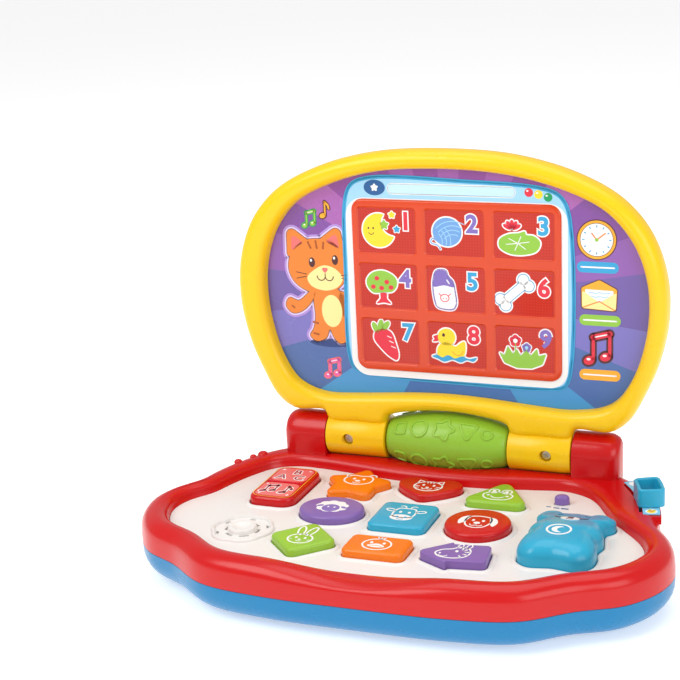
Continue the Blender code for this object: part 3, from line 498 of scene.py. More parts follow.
# Outlines, right halves from rear to front, mirrored and smoothed.
caseEdgeHalf = [(0, 101), (32, 100.5), (62, 98.3), (86, 92.2), (105, 83.5), (118.5, 71),
    (130, 51.5), (137.2, 31.5), (140.6, 17.5), (151, -2), (154, -17), (149.5, -36.5), (136, -55),
    (113.5, -67.8), (88, -86), (52, -92.6), (0, -93.8)]
plateEdgeHalf = [(0, 54.5), (30, 56), (56, 60), (76, 62.3), (90, 56.5), (98, 48), (104.5, 37),
    (112, 24.5), (120, 15.5), (134, -3), (138, -17), (134, -31), (123.5, -44), (103.5, -55),
    (81, -70.5), (50, -75), (0, -76.3)]
plateEdgeLeftRear = {3: (78, 63), 4: (94, 63), 5: (106, 57.5), 6: (115, 43.5), 7: (121.8, 26.5),
    8: (126.5, 11.5), 9: (135.5, -3.5)}
lidEdgeHalf = [(0, 176.5), (42, 174), (78, 164.7), (104, 151), (120.5, 132.5), (129.5, 109),
    (131.2, 84), (126.5, 58.5), (118.5, 38.5), (109.5, 22.5), (99, 15.3), (78.4, 14.9), (75.6, 9.6),
    (57, 9.0), (39.8, 9.6), (37.2, 14.6), (19, 18.9), (0, 20.2)]
windowEdgeHalf = [(0, 165.4), (40, 162.9), (73, 154.9), (96.5, 143.5), (111, 127), (118.7, 107),
    (120.3, 86), (116.8, 63.5), (110.3, 46), (102.5, 34.8), (93.5, 29.5), (78, 26.8), (70, 26.5),
    (58, 27.2), (47, 28), (37, 28.8), (19, 30.1), (0, 30.7)]
caseEdge = smoothClosed(wholeOutline(caseEdgeHalf), case["smooth"])
plateEdge = smoothClosed(wholeOutline(plateEdgeHalf, plateEdgeLeftRear), case["smooth"])
lidEdge = smoothClosed(wholeOutline(lidEdgeHalf), case["smooth"])
windowLeft = {k: (windowEdgeHalf[k][0] * 0.945, windowEdgeHalf[k][1]) for k in range(2, 11)}
windowEdge = smoothClosed(wholeOutline(windowEdgeHalf, windowLeft), case["smooth"])


def scoop(x, y):
    if y > 0 or abs(x) > case["scoopHalf"]:
        return 0.0
    return math.cos(math.pi * x / (2 * case["scoopHalf"])) ** 2


def caseRing(kind, distance, z, dip=0.0):
    ring = between(caseEdge, plateEdge, kind, distance)
    return [(x, y, z - case["scoopDepth"] * dip * scoop(x, y)) for x, y in ring]


def lidRing(kind, distance, z):
    return [(x, -v, z) for x, v in between(lidEdge, windowEdge, kind, distance)]


def quarter(kind, d0, z0, d1, z1, steps, dip0=0.0, dip1=0.0, flatFirst=False):
    # a quarter ellipse between two profile points, upright at the first unless flatFirst
    made = []
    for k in range(steps + 1):
        t = math.pi / 2 * k / steps
        across, up = 1 - math.cos(t), math.sin(t)
        if flatFirst:
            across, up = up, across
        made.append((kind, d0 + (d1 - d0) * across, z0 + (z1 - z0) * up, dip0 + (dip1 - dip0) * up))
    return made


tub = {"wall": 2.4, "footInset": 19.0, "door": (60.6, 46.6), "doorY": 10, "screwR": 3.6}
handle = {"radius": 9.0, "x": 57, "z": 19.0, "sides": 40, "socketR": 9.3, "collarR": 10.6,
    "rearLimit": 142.0, "path": [(57, 84), (57, 90), (57, 102), (53.8, 113), (46, 123.5), (35, 130),
    (20, 132.8), (0, 133)]}
track = {"x": 20, "bed": 37.4, "under": 33}


def makeTub():
    seam = case["seam"]
    outer = [("o", 0.0, seam), ("o", 0.0, seam - 0.6)]
    outer += quarter("o", 15, case["footHeight"] + 0.7, 0.1, 17, 10, flatFirst=True)[::-1]
    outer += [("o", tub["footInset"], case["footHeight"] + 0.1), ("o", 22, case["footHeight"])]
    inner = [("o", 22, 4.4), ("o", 15, 5.2), ("o", 9, 7.4), ("o", 3.6, 13.5),
        ("o", tub["wall"], seam)]
    bm = loftRings([caseRing(*p) for p in inner + outer])
    doorHole = prism(rounded(rectangle(*tub["door"], (0, tub["doorY"])), 3.3), 0, 8)
    jobs = [(doorHole, "DIFFERENCE")]
    for place in screwPlaces():
        jobs.append((moved(turned([(tub["screwR"], -1), (tub["screwR"], 8)], 32), *place),
            "DIFFERENCE"))
    bm = carve(bm, jobs + handleSockets())
    makePiece("tub", bm, caseFrame, [plastic("blue")], "base", 40, ["bottom_shell"])


def handleSockets():
    return [(moved(turned([(handle["socketR"], 88.5), (handle["socketR"], 106)], 48, "Y"),
        side * handle["x"], 0, handle["z"]), "DIFFERENCE") for side in (-1, 1)]


def screwPlaces():
    places = []
    for index in (3, 10, 14):
        for side in (-1, 1):
            edge, core = Vector(caseEdgeHalf[index]), Vector(plateEdgeHalf[index])
            if side < 0 and index in plateEdgeLeftRear:
                core = Vector(plateEdgeLeftRear[index])
            spot = core + (core - edge).normalized() * 4.2
            places.append((spot.x * side, spot.y))
    return places


def rollerRadius(x):
    fall = min(abs(x) / case["rollerHalf"], 1.0) ** 2
    return case["rollerR"] - (case["rollerR"] - case["rollerEndR"]) * fall


def troughTool():
    steps = 24
    profile = []
    for k in range(steps + 1):
        x = case["barrelIn"] * (2 * k / steps - 1)
        profile.append((rollerRadius(x) + case["troughGap"], x))
    bore = case["barrelR"] + case["troughGap"]
    outer = case["blockIn"] - 0.2
    profile = [(bore, -outer), (bore, -case["barrelIn"] + 0.02)] + profile[1:-1] + [(bore,
        case["barrelIn"] - 0.02), (bore, outer)]
    return moved(turned(profile, 64, "X"), 0, case["hingeY"], hingeZ)


def linerTool(radius, halfLength):
    top, back = 36.5, 95.5
    widest = math.acos((hingeZ - top) / radius)
    ring = []
    for k in range(25):
        a = widest * (k / 12 - 1)
        ring.append((min(case["hingeY"] + radius * math.sin(a), back),
            hingeZ - radius * math.cos(a)))
    return loftRings([[(x, y, z) for y, z in ring] for x in (-halfLength, halfLength)])


def caseRearAt(x):
    # how far back the case's edge lies at this x
    best = min((p for p in caseEdge if p[1] > 60), key=lambda p: abs(p[0] - x))
    return best[1]


def blockSections(side):
    radius, y0 = case["blockR"], case["hingeY"]
    length = case["blockOut"] - case["blockIn"]
    rings = []
    stations = [0, 0.25, 0.5, 0.7, 0.8, 0.88, 0.94, 0.98, 1.0]
    for share in stations:
        x = case["blockIn"] + length * share
        fall = max(0.0, (share - 0.7) / 0.3)
        shrink = radius * 0.42 * (1 - math.sqrt(max(0.0, 1 - fall ** 2)))
        r = radius - shrink
        limit = caseRearAt(x) - 1.8
        ring = [(y0 - r, 35.6)]
        ring += [(y0 - r * math.cos(math.pi * k / 28),
            hingeZ + r * math.sin(math.pi * k / 28)) for k in range(29)]
        ring += [(y0 + r, 35.6)]
        rings.append([(side * x, min(y, limit), z) for y, z in ring])
    return loftRings(rings)


def makeRim():
    crest, seam, plateTop = case["crest"], case["seam"] + gap, case["plateTop"]
    profile = [("o", 0.0, seam, 0), ("o", 0.1, seam + 5, 0)]
    profile += quarter("o", 0.5, seam + 8, 9.5, crest, 10, 0, 1)
    profile += quarter("i", 7.6, crest, 0.9, plateTop + 2.4, 8, 1, 0.1, flatFirst=True)
    profile += [("i", 0.1, plateTop + 0.5, 0), ("i", 0.0, plateTop + gap, 0), ("i", 0, 28.1, 0),
        ("i", -1, 28.1, 0), ("i", -1, 26.3, 0), ("i", 2.3, 26.3, 0), ("i", 6.8, 35.4, 1),
        ("o", 8.4, 35.4, 1), ("o", 3.4, 28, 0), ("o", tub["wall"], seam, 0)]
    bm = loftRings([caseRing(*p) for p in profile], capped=False)
    rollerLiner = case["rollerR"] + case["troughGap"] + tub["wall"]
    barrelLiner = case["barrelR"] + case["troughGap"] + tub["wall"]
    jobs = [(linerTool(rollerLiner, case["barrelIn"] + 1.5), "UNION"), (linerTool(barrelLiner,
        case["blockIn"] + 2), "UNION")]
    bed = prism(bandPoints(109, 121.4, 11.5, 38.2, (track["x"], 0)), track["under"], track["bed"])
    jobs.append((bed, "UNION"))
    for side in (-1, 1):
        jobs.append((blockSections(side), "UNION"))
    for x, y, r in ((-126.4, 45.8, 2.6), (-121, 55.9, 2.2), (-116.5, 60.6, 3.4)):
        bead = turned([(r * math.cos(t),
            r * 0.75 * math.sin(t)) for t in (math.pi / 2 * k / 6 for k in range(-2, 6))], 24)
        jobs.append((moved(bead, x, y, track["bed"]), "UNION"))
    jobs.append((troughTool(), "DIFFERENCE"))
    for socket, side in zip(handleSockets(), (-1, 1)):
        jobs.append(socket)
        ends = sorted((side * 76, side * 101.3))
        jobs.append((moved(turned([(2.9, ends[0]), (2.9, ends[1])], 24, "X"), 0, case["hingeY"],
            hingeZ), "DIFFERENCE"))
    recess = prism(bandPoints(111.1, 124.4, 12.2, 37.5, (track["x"], 0)), track["bed"], 50)
    slot = prism(bandPoints(109.3, 111.1, 14, 35.5, (track["x"], 0)), 30, 45)
    jobs += [(recess, "DIFFERENCE"), (slot, "DIFFERENCE")]
    bm = carve(bm, jobs)
    makePiece("rim", bm, caseFrame, [plastic("red")], "base", 32, ["top_casing"])


keys = {"size": 18.6, "pitchX": 43.5, "pitchY": 42.0, "midX": -1.0, "midY": -3.5, "top": 5.2,
    "slack": 0.35, "rockerSlack": 0.7, "arrowTurn": math.radians(7)}
keyPaint = {"key_star": "orange", "key_heart": "red", "key_triangle": "green", "key_oval": "violet",
    "key_square": "sky", "key_circle": "red", "key_diamond": "green", "key_rectangle": "orange",
    "key_arrow": "violet"}


def keyOutlines():
    s = keys["size"]
    star = [(r * math.sin(math.pi * k / 5), r * math.cos(math.pi * k / 5) - s * 0.15) for k,
        r in enumerate([s * 1.22, s * 0.75] * 5)]
    triangle = [(-s * 1.16, -s * 0.74), (s * 1.16, -s * 0.74), (0, s * 1.08)]
    diamond = [(-s * 1.08, 0), (0, -s * 1.08), (s * 1.08, 0), (0, s * 1.08)]
    arrow = [(-s * 1.12, 0), (-s * 0.12, -s * 0.72), (-s * 0.12, -s * 0.58), (s, -s * 0.58),
        (s, s * 0.58), (-s * 0.12, s * 0.58), (-s * 0.12, s * 0.72)]
    heartHalf = [(0, 0.46), (0.3, 0.7), (0.7, 0.72), (1.02, 0.45), (1.0, 0.08), (0.7, -0.28),
        (0.32, -0.57), (0.1, -0.71), (0, -0.73)]
    heart = [(x * s, y * s) for x, y in smoothClosed(wholeOutline(heartHalf), 6)]
    tilt = Matrix.Rotation(keys["arrowTurn"], 2)
    outlines = {"key_star": rounded(star, [3.6, 2.5] * 5), "key_heart": heart,
        "key_triangle": rounded(triangle, 5, 12), "key_oval": ovalPoints(0, 0, s * 1.02, s * 0.85,
        72), "key_square": rounded(rectangle(s * 1.8, s * 1.8), 4.5), "key_circle": ovalPoints(0, 0,
        s, s, 72), "key_diamond": rounded(diamond, 4.2), "key_rectangle": rounded(rectangle(s * 1.9,
        s * 1.2), 4), "key_arrow": [tuple(tilt @ Vector(p)) for p in rounded(arrow,
        [3.2, 0.75, 0.9, 3, 3, 0.9, 0.75], 6)]}
    placed = {}
    for k, (name, outline) in enumerate(outlines.items()):
        mid = (keys["midX"] + (k % 3 - 1) * keys["pitchX"],
            keys["midY"] + (1 - k // 3) * keys["pitchY"])
        placed[name] = (outline, mid)
    return placed


def shifted(outline, mid):
    return [(x + mid[0], y + mid[1]) for x, y in outline]


def mouseOutline(steps=5):
    half = [(0, 31.5), (10, 30.2), (15.5, 31.5), (21, 28.5), (21.8, 21.5), (18, 16), (18.8, 9),
        (20.6, 0), (19, -8), (20.8, -16), (19.6, -26), (12.5, -31.3), (5, -30.6), (0, -29.8)]
    return smoothClosed(wholeOutline(half), steps)


mouseMid = (94.5, -13.0)
rockerMid = (-85.0, 23.0)
rockerSize = (28.0, 49.0)
volumeMid = (78.0, 44.0)
volumeTurn = math.radians(12)
speakerMid = (-86.0, -35.0)


def makePlate():
    top, low = case["plateTop"], case["plateTop"] - 2.5
    plate = prism(between(caseEdge, plateEdge, "i", -gap), low, top)
    shapes = [shifted(o, mid) for o, mid in keyOutlines().values()]
    shapes.append(shifted(mouseOutline(), mouseMid))
    shapes.append(shifted(rounded(rectangle(*rockerSize), 7), rockerMid))
    slot = rounded(rectangle(9.4, 3), 1.4)
    turn = Matrix.Rotation(volumeTurn, 2)
    volumeSlot = [tuple(turn @ Vector(p) + Vector(volumeMid)) for p in slot]
    spare = [0.0] * (len(shapes) - 1) + [keys["rockerSlack"] - keys["slack"]]
    holes = [prism(grown(s, keys["slack"] + d), low - 1, top + 1) for s, d in zip(shapes, spare)]
    holes.append(prism(volumeSlot, low - 1, top + 1))
    for k in range(6):
        for rIn, rOut, turnDeg, half in ((8.6, 10.2, 0, 17), (13.4, 14.8, 30, 7)):
            a = 60 * k + turnDeg
            holes.append(prism(bandPoints(rIn, rOut, a - half, a + half, speakerMid, 8), low - 1,
                top + 4))
    relief = [turned([(8.2, -0.5), (8.2, 1.4), (7.6, 2.3), (6.2, 2.7), (4.8, 2.2), (3.6, 1.5),
        (2.2, 1.2), (0.4, 1.2)], 64)]
    petalRing = []
    for k in range(120):
        a = 2 * math.pi * k / 120
        petalRing.append((a, 17.2 + 1.3 * abs(math.cos(3 * a))))
    def petals(shrink, z):
        return [((r - shrink) * math.cos(a), (r - shrink) * math.sin(a), z) for a, r in petalRing]
    relief.append(loftRings([petals(0, -0.5), petals(0, 0.5), petals(0.5, 1.3), petals(1.1, 1.6),
        petals(1.6, 1.5), petals(2.1, 0.7), petals(2.4, -0.5)], capped=False))
    plate = carve(plate, [(together(holes), "DIFFERENCE")])
    makePiece("playPlate", plate, caseFrame, [plastic("white")], "base", 32,
        ["keyboard_plate"])
    makePiece("speakerRelief", moved(together(relief), *speakerMid, top), caseFrame,
        [plastic("white")], "base", 40)
    lips = []
    for shape, wider in zip(shapes, spare):
        profile = [(0.5, -0.2), (0.5, 0.7), (0.9, 0.95), (1.5, 0.95), (2.3, 0.6), (3.1, 0.1),
            (3.3, -0.2)]
        lips.append(loftRings([level(grown(shape, d + wider), top + z) for d, z in profile],
            capped=False))
    makePiece("keyLips", together(lips), caseFrame, [plastic("white")], "base", 50)


def capSteps(outline, low, top, edge=2.2, steps=6):
    # the side and the rounded top edge of a key's cap
    made = [(outline, low), (outline, top - edge)]
    for across, up in quarterTurn(steps):
        made.append((grown(outline, -edge * across), top - edge + edge * up))
    return made


def makeKeys():
    under = -2.5 - gap
    for name, (outline, mid) in keyOutlines().items():
        edge = {"key_arrow": 0.6, "key_heart": 1.5}.get(name, 2.0)
        flange = grown(outline, 0.9)
        steps = [(flange, under - 1.6), (flange, under), (outline, under + 0.001)]
        steps += capSteps(outline, under + 0.1, keys["top"], edge)
        bm = moved(stepped(steps), *mid, case["plateTop"])
        paint = keyPaint[name]
        makePiece("cap_" + name[4:], bm, caseFrame, [plastic(paint)], name, 35,
            [name])


mouse = {"top": 14.0, "rings": 16, "flange": 1.5, "eye": 2.3, "noseA": 5.2, "noseB": 3.6,
    "emblem": 6.4, "headDrop": 0.52, "shoulder": 5.0, "roundness": 12.5}


# The ears, feet and arms: x and y of the middle, sides, and (radius, height) up the side.
mouseBumps = [(13.2, 23.4, 40, [(6.6, 6.2), (6.5, 9.4), (5.8, 11.6), (4.6, 12.4), (3.4, 11.8),
    (2.4, 11.2), (0.3, 11.0)]), (12.2, -23.4, 36, [(6.2, 3.0), (6.2, 7.0), (5.6, 9.4), (4.2, 11.0),
    (2.2, 11.8), (0.3, 12.0)]), (14.8, 1.0, 36, [(5.6, 3.0), (5.6, 6.2), (5.0, 8.4), (3.6, 9.9),
    (1.8, 10.5), (0.3, 10.6)])]


def shrunk(point, inset):
    x, y = point
    return x * (1 - inset / 22), y * (1 - inset / 32)


def makeMouse():
    outline = mouseOutline(8)
    low = -2.5 - gap
    steps = [(grown(outline, mouse["flange"]), low - 1.4), (grown(outline, mouse["flange"]), low),
        (outline, low + 0.01), (outline, mouse["shoulder"])]
    for across, up in quarterTurn(mouse["rings"]):
        inset = mouse["roundness"] * across ** 1.05
        z = mouse["shoulder"] + (mouse["top"] - mouse["shoulder"]) * up
        steps.append(([shrunk(p, inset) for p in outline], z))
    crown = steps[-1][0]
    for share in (0.85, 0.7, 0.55, 0.4, 0.25, 0.1):
        steps.append(([(x * share, y * share) for x, y in crown], mouse["top"]))
    body = stepped(steps)
    jobs = [(moved(turned(profile, sides), side * x, y), "UNION") for side in (-1, 1) for x, y,
        sides, profile in mouseBumps]
    body = carve(body, jobs)
    bmesh.ops.triangulate(body, faces=body.faces)
    for vert in body.verts:  # the head lies lower than the belly
        if vert.co.z > 4:
            share = min(max((vert.co.y + 4) / 34, 0.0), 1.0)
            drop = mouse["headDrop"] * share * share * (3 - 2 * share)
            vert.co.z = 4 + (vert.co.z - 4) * (1 - drop)
    tree = BVHTree.FromBMesh(body)
    makePiece("mouseShape", moved(body, *mouseMid, case["plateTop"]), caseFrame, [plastic("sky")],
        "mouse_key", 42, ["mouse_key"])
    face = newSheet(0.2)
    for side in (-1, 1):
        printArc(face, side * 6.2, 15.2, mouse["eye"] * 1.25, 200, 340, 14, "dark", 1.0)
        printArc(face, side * 6.2, 17.0, 3.0, 40 if side > 0 else 90, 90 if side > 0 else 140, 8,
            "navy", 0.55)
    printOval(face, 0, 10.4, mouse["noseA"], mouse["noseB"], 36, "white", 2)
    printOval(face, 0, 11.8, 1.9, 1.2, 24, "dark", 3)
    printArc(face, 0, 9.8, 1.9, 200, 340, 10, "dark", 0.45, 3)
    ring = ovalPoints(-1.1, -9.2, mouse["emblem"], mouse["emblem"], 44)
    printLine(face, ring, "white", 1.1, 1, closed=True)
    moonOuter = arcPoints(-1.1, -9.2, 3.9, 60, 300, 20)
    moonInner = arcPoints(1.4, -9.2, 3.42, 260.8, 99.2, 16)
    printShape(face, moonOuter + moonInner[1:-1], "white")
    drape(face["bm"], tree)
    for vert in face["bm"].verts:
        vert.co += Vector((*mouseMid, case["plateTop"]))
    layDown("mouseFace", face, caseFrame, "mouse_key")


def drape(bm, tree):
    # lays a flat sheet of prints on a curved top: the ink keeps its thickness above it
    bmesh.ops.triangulate(bm, faces=bm.faces)
    bmesh.ops.subdivide_edges(bm, edges=[e for e in bm.edges if e.calc_length() > 1.5], cuts=2)
    bmesh.ops.triangulate(bm, faces=bm.faces)
    for vert in bm.verts:
        hit = tree.ray_cast(Vector((vert.co.x, vert.co.y, 60)), Vector((0, 0, -1)))
        ground = hit[0].z if hit[0] else 0.0
        vert.co.z = ground + (vert.co.z if vert.co.z > 0.01 else -0.25)


rocker = {"pivot": 27.0, "edge": 2.6, "corner": 7, "rise": 6, "bar": (34, 5), "patch": (22.5, 19.5),
    "patchY": 11.6, "frame": (24.6, 45.2), "letter": 8.8}


def makeRocker():
    outline = rounded(rectangle(*rockerSize), rocker["corner"])
    top = case["plateTop"] - rocker["pivot"] + rocker["rise"]
    cap = stepped([(outline, -0.4)] + capSteps(outline, -0.39, top, rocker["edge"]))
    bar = prism(rectangle(*rocker["bar"]), -1.8, 0.9)
    cap = carve(cap, [(bar, "UNION")])
    place = (*rockerMid, rocker["pivot"])
    makePiece("rockerCap", moved(cap, *place), caseFrame, [plastic("red")], "mode_rocker",
        35, ["mode_rocker"])
    sheet = newSheet(0.07)
    for y in (rocker["patchY"], -rocker["patchY"]):
        printShape(sheet, rounded(rectangle(*rocker["patch"], (0, y)), 4.5), "rose")
    printLine(sheet, rounded(rectangle(*rocker["frame"]), 5.6), "amber", 0.45, closed=True)
    for body, x, y in (("A", -5.6, 7.8), ("B", 1.6, 15.6), ("C", 5.6, 7.4)):
        printDigit(sheet, body, x, y, rocker["letter"], "white", 0.75, 2)
        printDigit(sheet, body, x, y, rocker["letter"], "maroon", 0.12, 3)
    for x, y, size in ((-8.6, 18.6, 1.5), (8.4, 19.0, 1.2), (8.8, 4.6, 1.3), (-8.8, 4.4, 1.0)):
        printShape(sheet, starPoints(x, y, size, size * 0.35, 4, soft=0.05), "white", 3)
    drawDoubleNote(sheet, -4.6, -11.2, 5.2, "maroon", "white", 2)
    drawNote(sheet, 5.2, -11.6, 5.2, "maroon", "white", 2)
    for x, y, size in ((-9.2, -4.4, 1.1), (9.2, -18.6, 1.4), (-8.4, -18.8, 1.1)):
        printShape(sheet, starPoints(x, y, size, size * 0.35, 4, soft=0.05), "white", 3)
    printLine(sheet, [(-11, 0), (11, 0)], "red", 0.9, 8)
    moved(sheet["bm"], *place[:2], place[2] + top - 0.02)
    layDown("rockerPrint", sheet, caseFrame, "mode_rocker")


def drawNote(sheet, x, y, size, name, edge, layer=1):
    # a crotchet with a flag, size is its half height
    s = size
    head = ovalPoints(x - s * 0.22, y - s * 0.72, s * 0.42, s * 0.3, 24, 0.4)
    stem = [(x + s * 0.10, y - s * 0.66), (x + s * 0.10, y + s)]
    flag = [(x + s * 0.10, y + s), (x + s * 0.5, y + s * 0.62), (x + s * 0.62, y + s * 0.2)]
    if edge:
        printLine(sheet, head, edge, s * 0.3, layer, closed=True)
        printLine(sheet, stem, edge, s * 0.46, layer)
        printLine(sheet, flag, edge, s * 0.5, layer)
    printShape(sheet, head, name, layer + 1)
    printLine(sheet, stem, name, s * 0.2, layer + 1)
    printLine(sheet, flag, name, s * 0.26, layer + 1)


def drawDoubleNote(sheet, x, y, size, name, edge, layer=1, shine=None):
    s = size
    bar = [(x - s * 0.42, y + s * 0.72), (x + s * 0.62, y + s)]
    stems = [[(x - s * 0.42, y - s * 0.7), bar[0]], [(x + s * 0.62, y - s * 0.42), bar[1]]]
    heads = [ovalPoints(x - s * 0.68, y - s * 0.78, s * 0.36, s * 0.27, 24, 0.4),
        ovalPoints(x + s * 0.36, y - s * 0.5, s * 0.36, s * 0.27, 24, 0.4)]
    if edge:
        for line in stems:
            printLine(sheet, line, edge, s * 0.44, layer)
        printLine(sheet, bar, edge, s * 0.62, layer)
        for head in heads:
            printLine(sheet, head, edge, s * 0.28, layer, closed=True)
    for line in stems:
        printLine(sheet, line, name, s * 0.2, layer + 1)
    printLine(sheet, bar, name, s * 0.36, layer + 1)
    for head in heads:
        printShape(sheet, head, name, layer + 1)
    if shine:
        printOval(sheet, x - s * 0.72, y - s * 0.7, s * 0.13, s * 0.08, 12, shine, layer + 2)
        printOval(sheet, x + s * 0.3, y - s * 0.42, s * 0.13, s * 0.08, 12, shine, layer + 2)
        printLine(sheet, [(x - s * 0.28, y + s * 0.76), (x + s * 0.42, y + s * 0.94)], shine,
            s * 0.08, layer + 2)


volume = {"width": 8.6, "depth": 5.8, "height": 5.5, "shoulder": 3.0, "stem": (3, 2.3),
    "foot": (11, 7)}


def makeVolume():
    a, b = volume["width"] / 2, volume["depth"] / 2
    steps = [(ovalPoints(0, 0, a, b, 40), gap), (ovalPoints(0, 0, a, b, 40), volume["shoulder"])]
    for across, up in quarterTurn(8):
        shrink = 1 - 0.55 * across
        steps.append((ovalPoints(0, 0, a * shrink, b * shrink, 40),
            volume["shoulder"] + (volume["height"] - volume["shoulder"]) * up))
    jobs = [(prism(rectangle(*volume["stem"]), -3.4, 1), "UNION"),
        (prism(rectangle(*volume["foot"]), -4.6, -2.5 - gap), "UNION")]
    knob = carve(stepped(steps), jobs)
    bmesh.ops.rotate(knob, matrix=Matrix.Rotation(volumeTurn, 3, "Z"), verts=knob.verts)
    makePiece("volumeKnob", moved(knob, *volumeMid, case["plateTop"]), caseFrame,
        [plastic("violet")], "volume_slider", 40, ["volume_slider"])


def prismBand(rIn, rOut, a, b, low, high, steps=12):
    return prism(bandPoints(rIn, rOut, a, b, (0, 0), steps), low, high)


slider = {"inner": 109.0, "outer": 124.3, "at": 21.5, "length": 20.0, "top": 49.0, "wall": 2.2,
    "edge": 1.0}


def makeSlider():
    middle = (slider["inner"] + slider["outer"]) / 2
    half = math.degrees(slider["length"] / 2 / middle)
    wall = math.degrees(slider["wall"] / middle)
    low = track["bed"] + 1.3
    a, b = slider["at"] - half, slider["at"] + half
    def roundedBand(rIn, rOut, fromDeg, toDeg, radius):
        corners = [(r * math.cos(math.radians(d)), r * math.sin(math.radians(d))) for r,
            d in ((rOut, fromDeg), (rOut, (fromDeg + toDeg) / 2), (rOut, toDeg), (rIn, toDeg),
            (rIn, (fromDeg + toDeg) / 2), (rIn, fromDeg))]
        return rounded(corners, [radius, 2, radius, radius, 2, radius], 7)
    ringOuter = roundedBand(slider["inner"] + 0.1, slider["outer"], a, b, 3.4)
    ringInner = roundedBand(slider["inner"] + slider["wall"], slider["outer"] - slider["wall"],
        a + wall, b - wall, 1.6)
    edge, top = slider["edge"], slider["top"]
    rows = [level(ringOuter, low), level(ringOuter, top - edge)]
    for across, up in quarterTurn(4):
        rows.append(level(grown(ringOuter, -edge * 0.8 * across), top - edge + edge * up))
    for across, up in quarterTurn(4, 0)[::-1]:
        rows.append(level(grown(ringInner, edge * 0.8 * across), top - edge + edge * up))
    rows.append(level(ringInner, low))
    collar = loftRings(rows, capped=False)
    stem = prismBand(109.55, 110.85, slider["at"] - 3, slider["at"] + 3, 32, low + 1)
    foot = prismBand(106.5, 114, slider["at"] - 3.3, slider["at"] + 3.3, track["under"] - gap - 1.6,
        track["under"] - gap)
    collar = carve(collar, [(stem, "UNION"), (foot, "UNION")])
    makePiece("sliderCollar", moved(collar, track["x"], 0), caseFrame, [plastic("sky")],
        "side_slider", 40, ["side_slider"])


strip = {"inner": 111.4, "outer": 120.8, "from": 12.5, "to": 37.2}


def onTrack(r, deg):
    return track["x"] + r * math.cos(math.radians(deg)), r * math.sin(math.radians(deg))


def makeStrip():
    base = prism(bandPoints(strip["inner"], strip["outer"], strip["from"], strip["to"],
        (track["x"], 0)), track["bed"] + gap, 38.25)
    makePiece("pictureBase", base, caseFrame, [ink("picture")], "base", 30,
        ["picture_strip"])
    sheet = newSheet(0.02)
    looks = [("yellow", "orange"), ("red", "white"), ("green", "yellow"), ("violet", "pink"),
        ("orange", "cream"), ("white", "red")]
    mid = (strip["inner"] + strip["outer"]) / 2
    for k, (first, second) in enumerate(looks):
        deg = 14.4 + 4.1 * k
        x, y = onTrack(mid, deg)
        printOval(sheet, x, y, 3.4, 3.2, 28, "white")
        if k % 2:
            printShape(sheet, starPoints(x, y, 2.9, 1.4, 5, k), first, 2)
        else:
            printOval(sheet, x, y - 0.3, 2.4, 2.1, 24, first, 2)
            printOval(sheet, x - 1.3, y + 1.7, 0.9, 0.9, 16, first, 2)
            printOval(sheet, x + 1.3, y + 1.7, 0.9, 0.9, 16, first, 2)
        printOval(sheet, x, y - 0.3, 0.9, 0.8, 16, second, 3)
    moved(sheet["bm"], 0, 0, 38.24)
    layDown("stripPictures", sheet, caseFrame, "base")


def volumeMarks():
    sheet = newSheet(0.12)
    for k, (x, y) in enumerate(((71.6, 38.1), (76.4, 37.3), (81.3, 37.2))):
        printLine(sheet, [(x - 1.0 - 0.3 * k, y), (x + 1.0 + 0.3 * k, y + 0.1)], "navy",
            0.8 + 0.25 * k)
    moved(sheet["bm"], 0, 0, case["plateTop"] - 0.02)
    layDown("volumeMarks", sheet, caseFrame, "base")


def makeHandle():
    half = handle["path"]
    closed = [Vector(p) for p in half + [(-x, y) for x, y in reversed(half[:-1])]]
    path = []
    for k in range(len(closed) - 1):
        a, b = closed[k], closed[k + 1]
        before = closed[k - 1] if k else a - (b - a)
        after = closed[k + 2] if k + 2 < len(closed) else b + (b - a)
        path += [curvePoint(before, a, b, after, step / 6) for step in range(6)]
    path.append(closed[-1])
    rings = []
    for k, here in enumerate(path):
        way = (path[min(k + 1, len(path) - 1)] - path[max(k - 1, 0)]).normalized()
        side = Vector((way.y, -way.x))
        ring = []
        for j in range(handle["sides"]):
            a = 2 * math.pi * j / handle["sides"]
            out = here + side * handle["radius"] * math.cos(a)
            ring.append((out.x, min(out.y, handle["rearLimit"]),
                handle["z"] + handle["radius"] * math.sin(a)))
        rings.append(ring)
    bm = loftRings(rings)
    jobs = []
    for side in (-1, 1):
        collar = turned([(handle["collarR"], 84.5), (handle["collarR"], 87.5)], 40, "Y")
        jobs.append((moved(collar, side * handle["x"], 0, handle["z"]), "UNION"))
    makePiece("handleTube", carve(bm, jobs), caseFrame, [plastic("blue")], "base",
        40, ["carry_handle"])
    print("handle done")


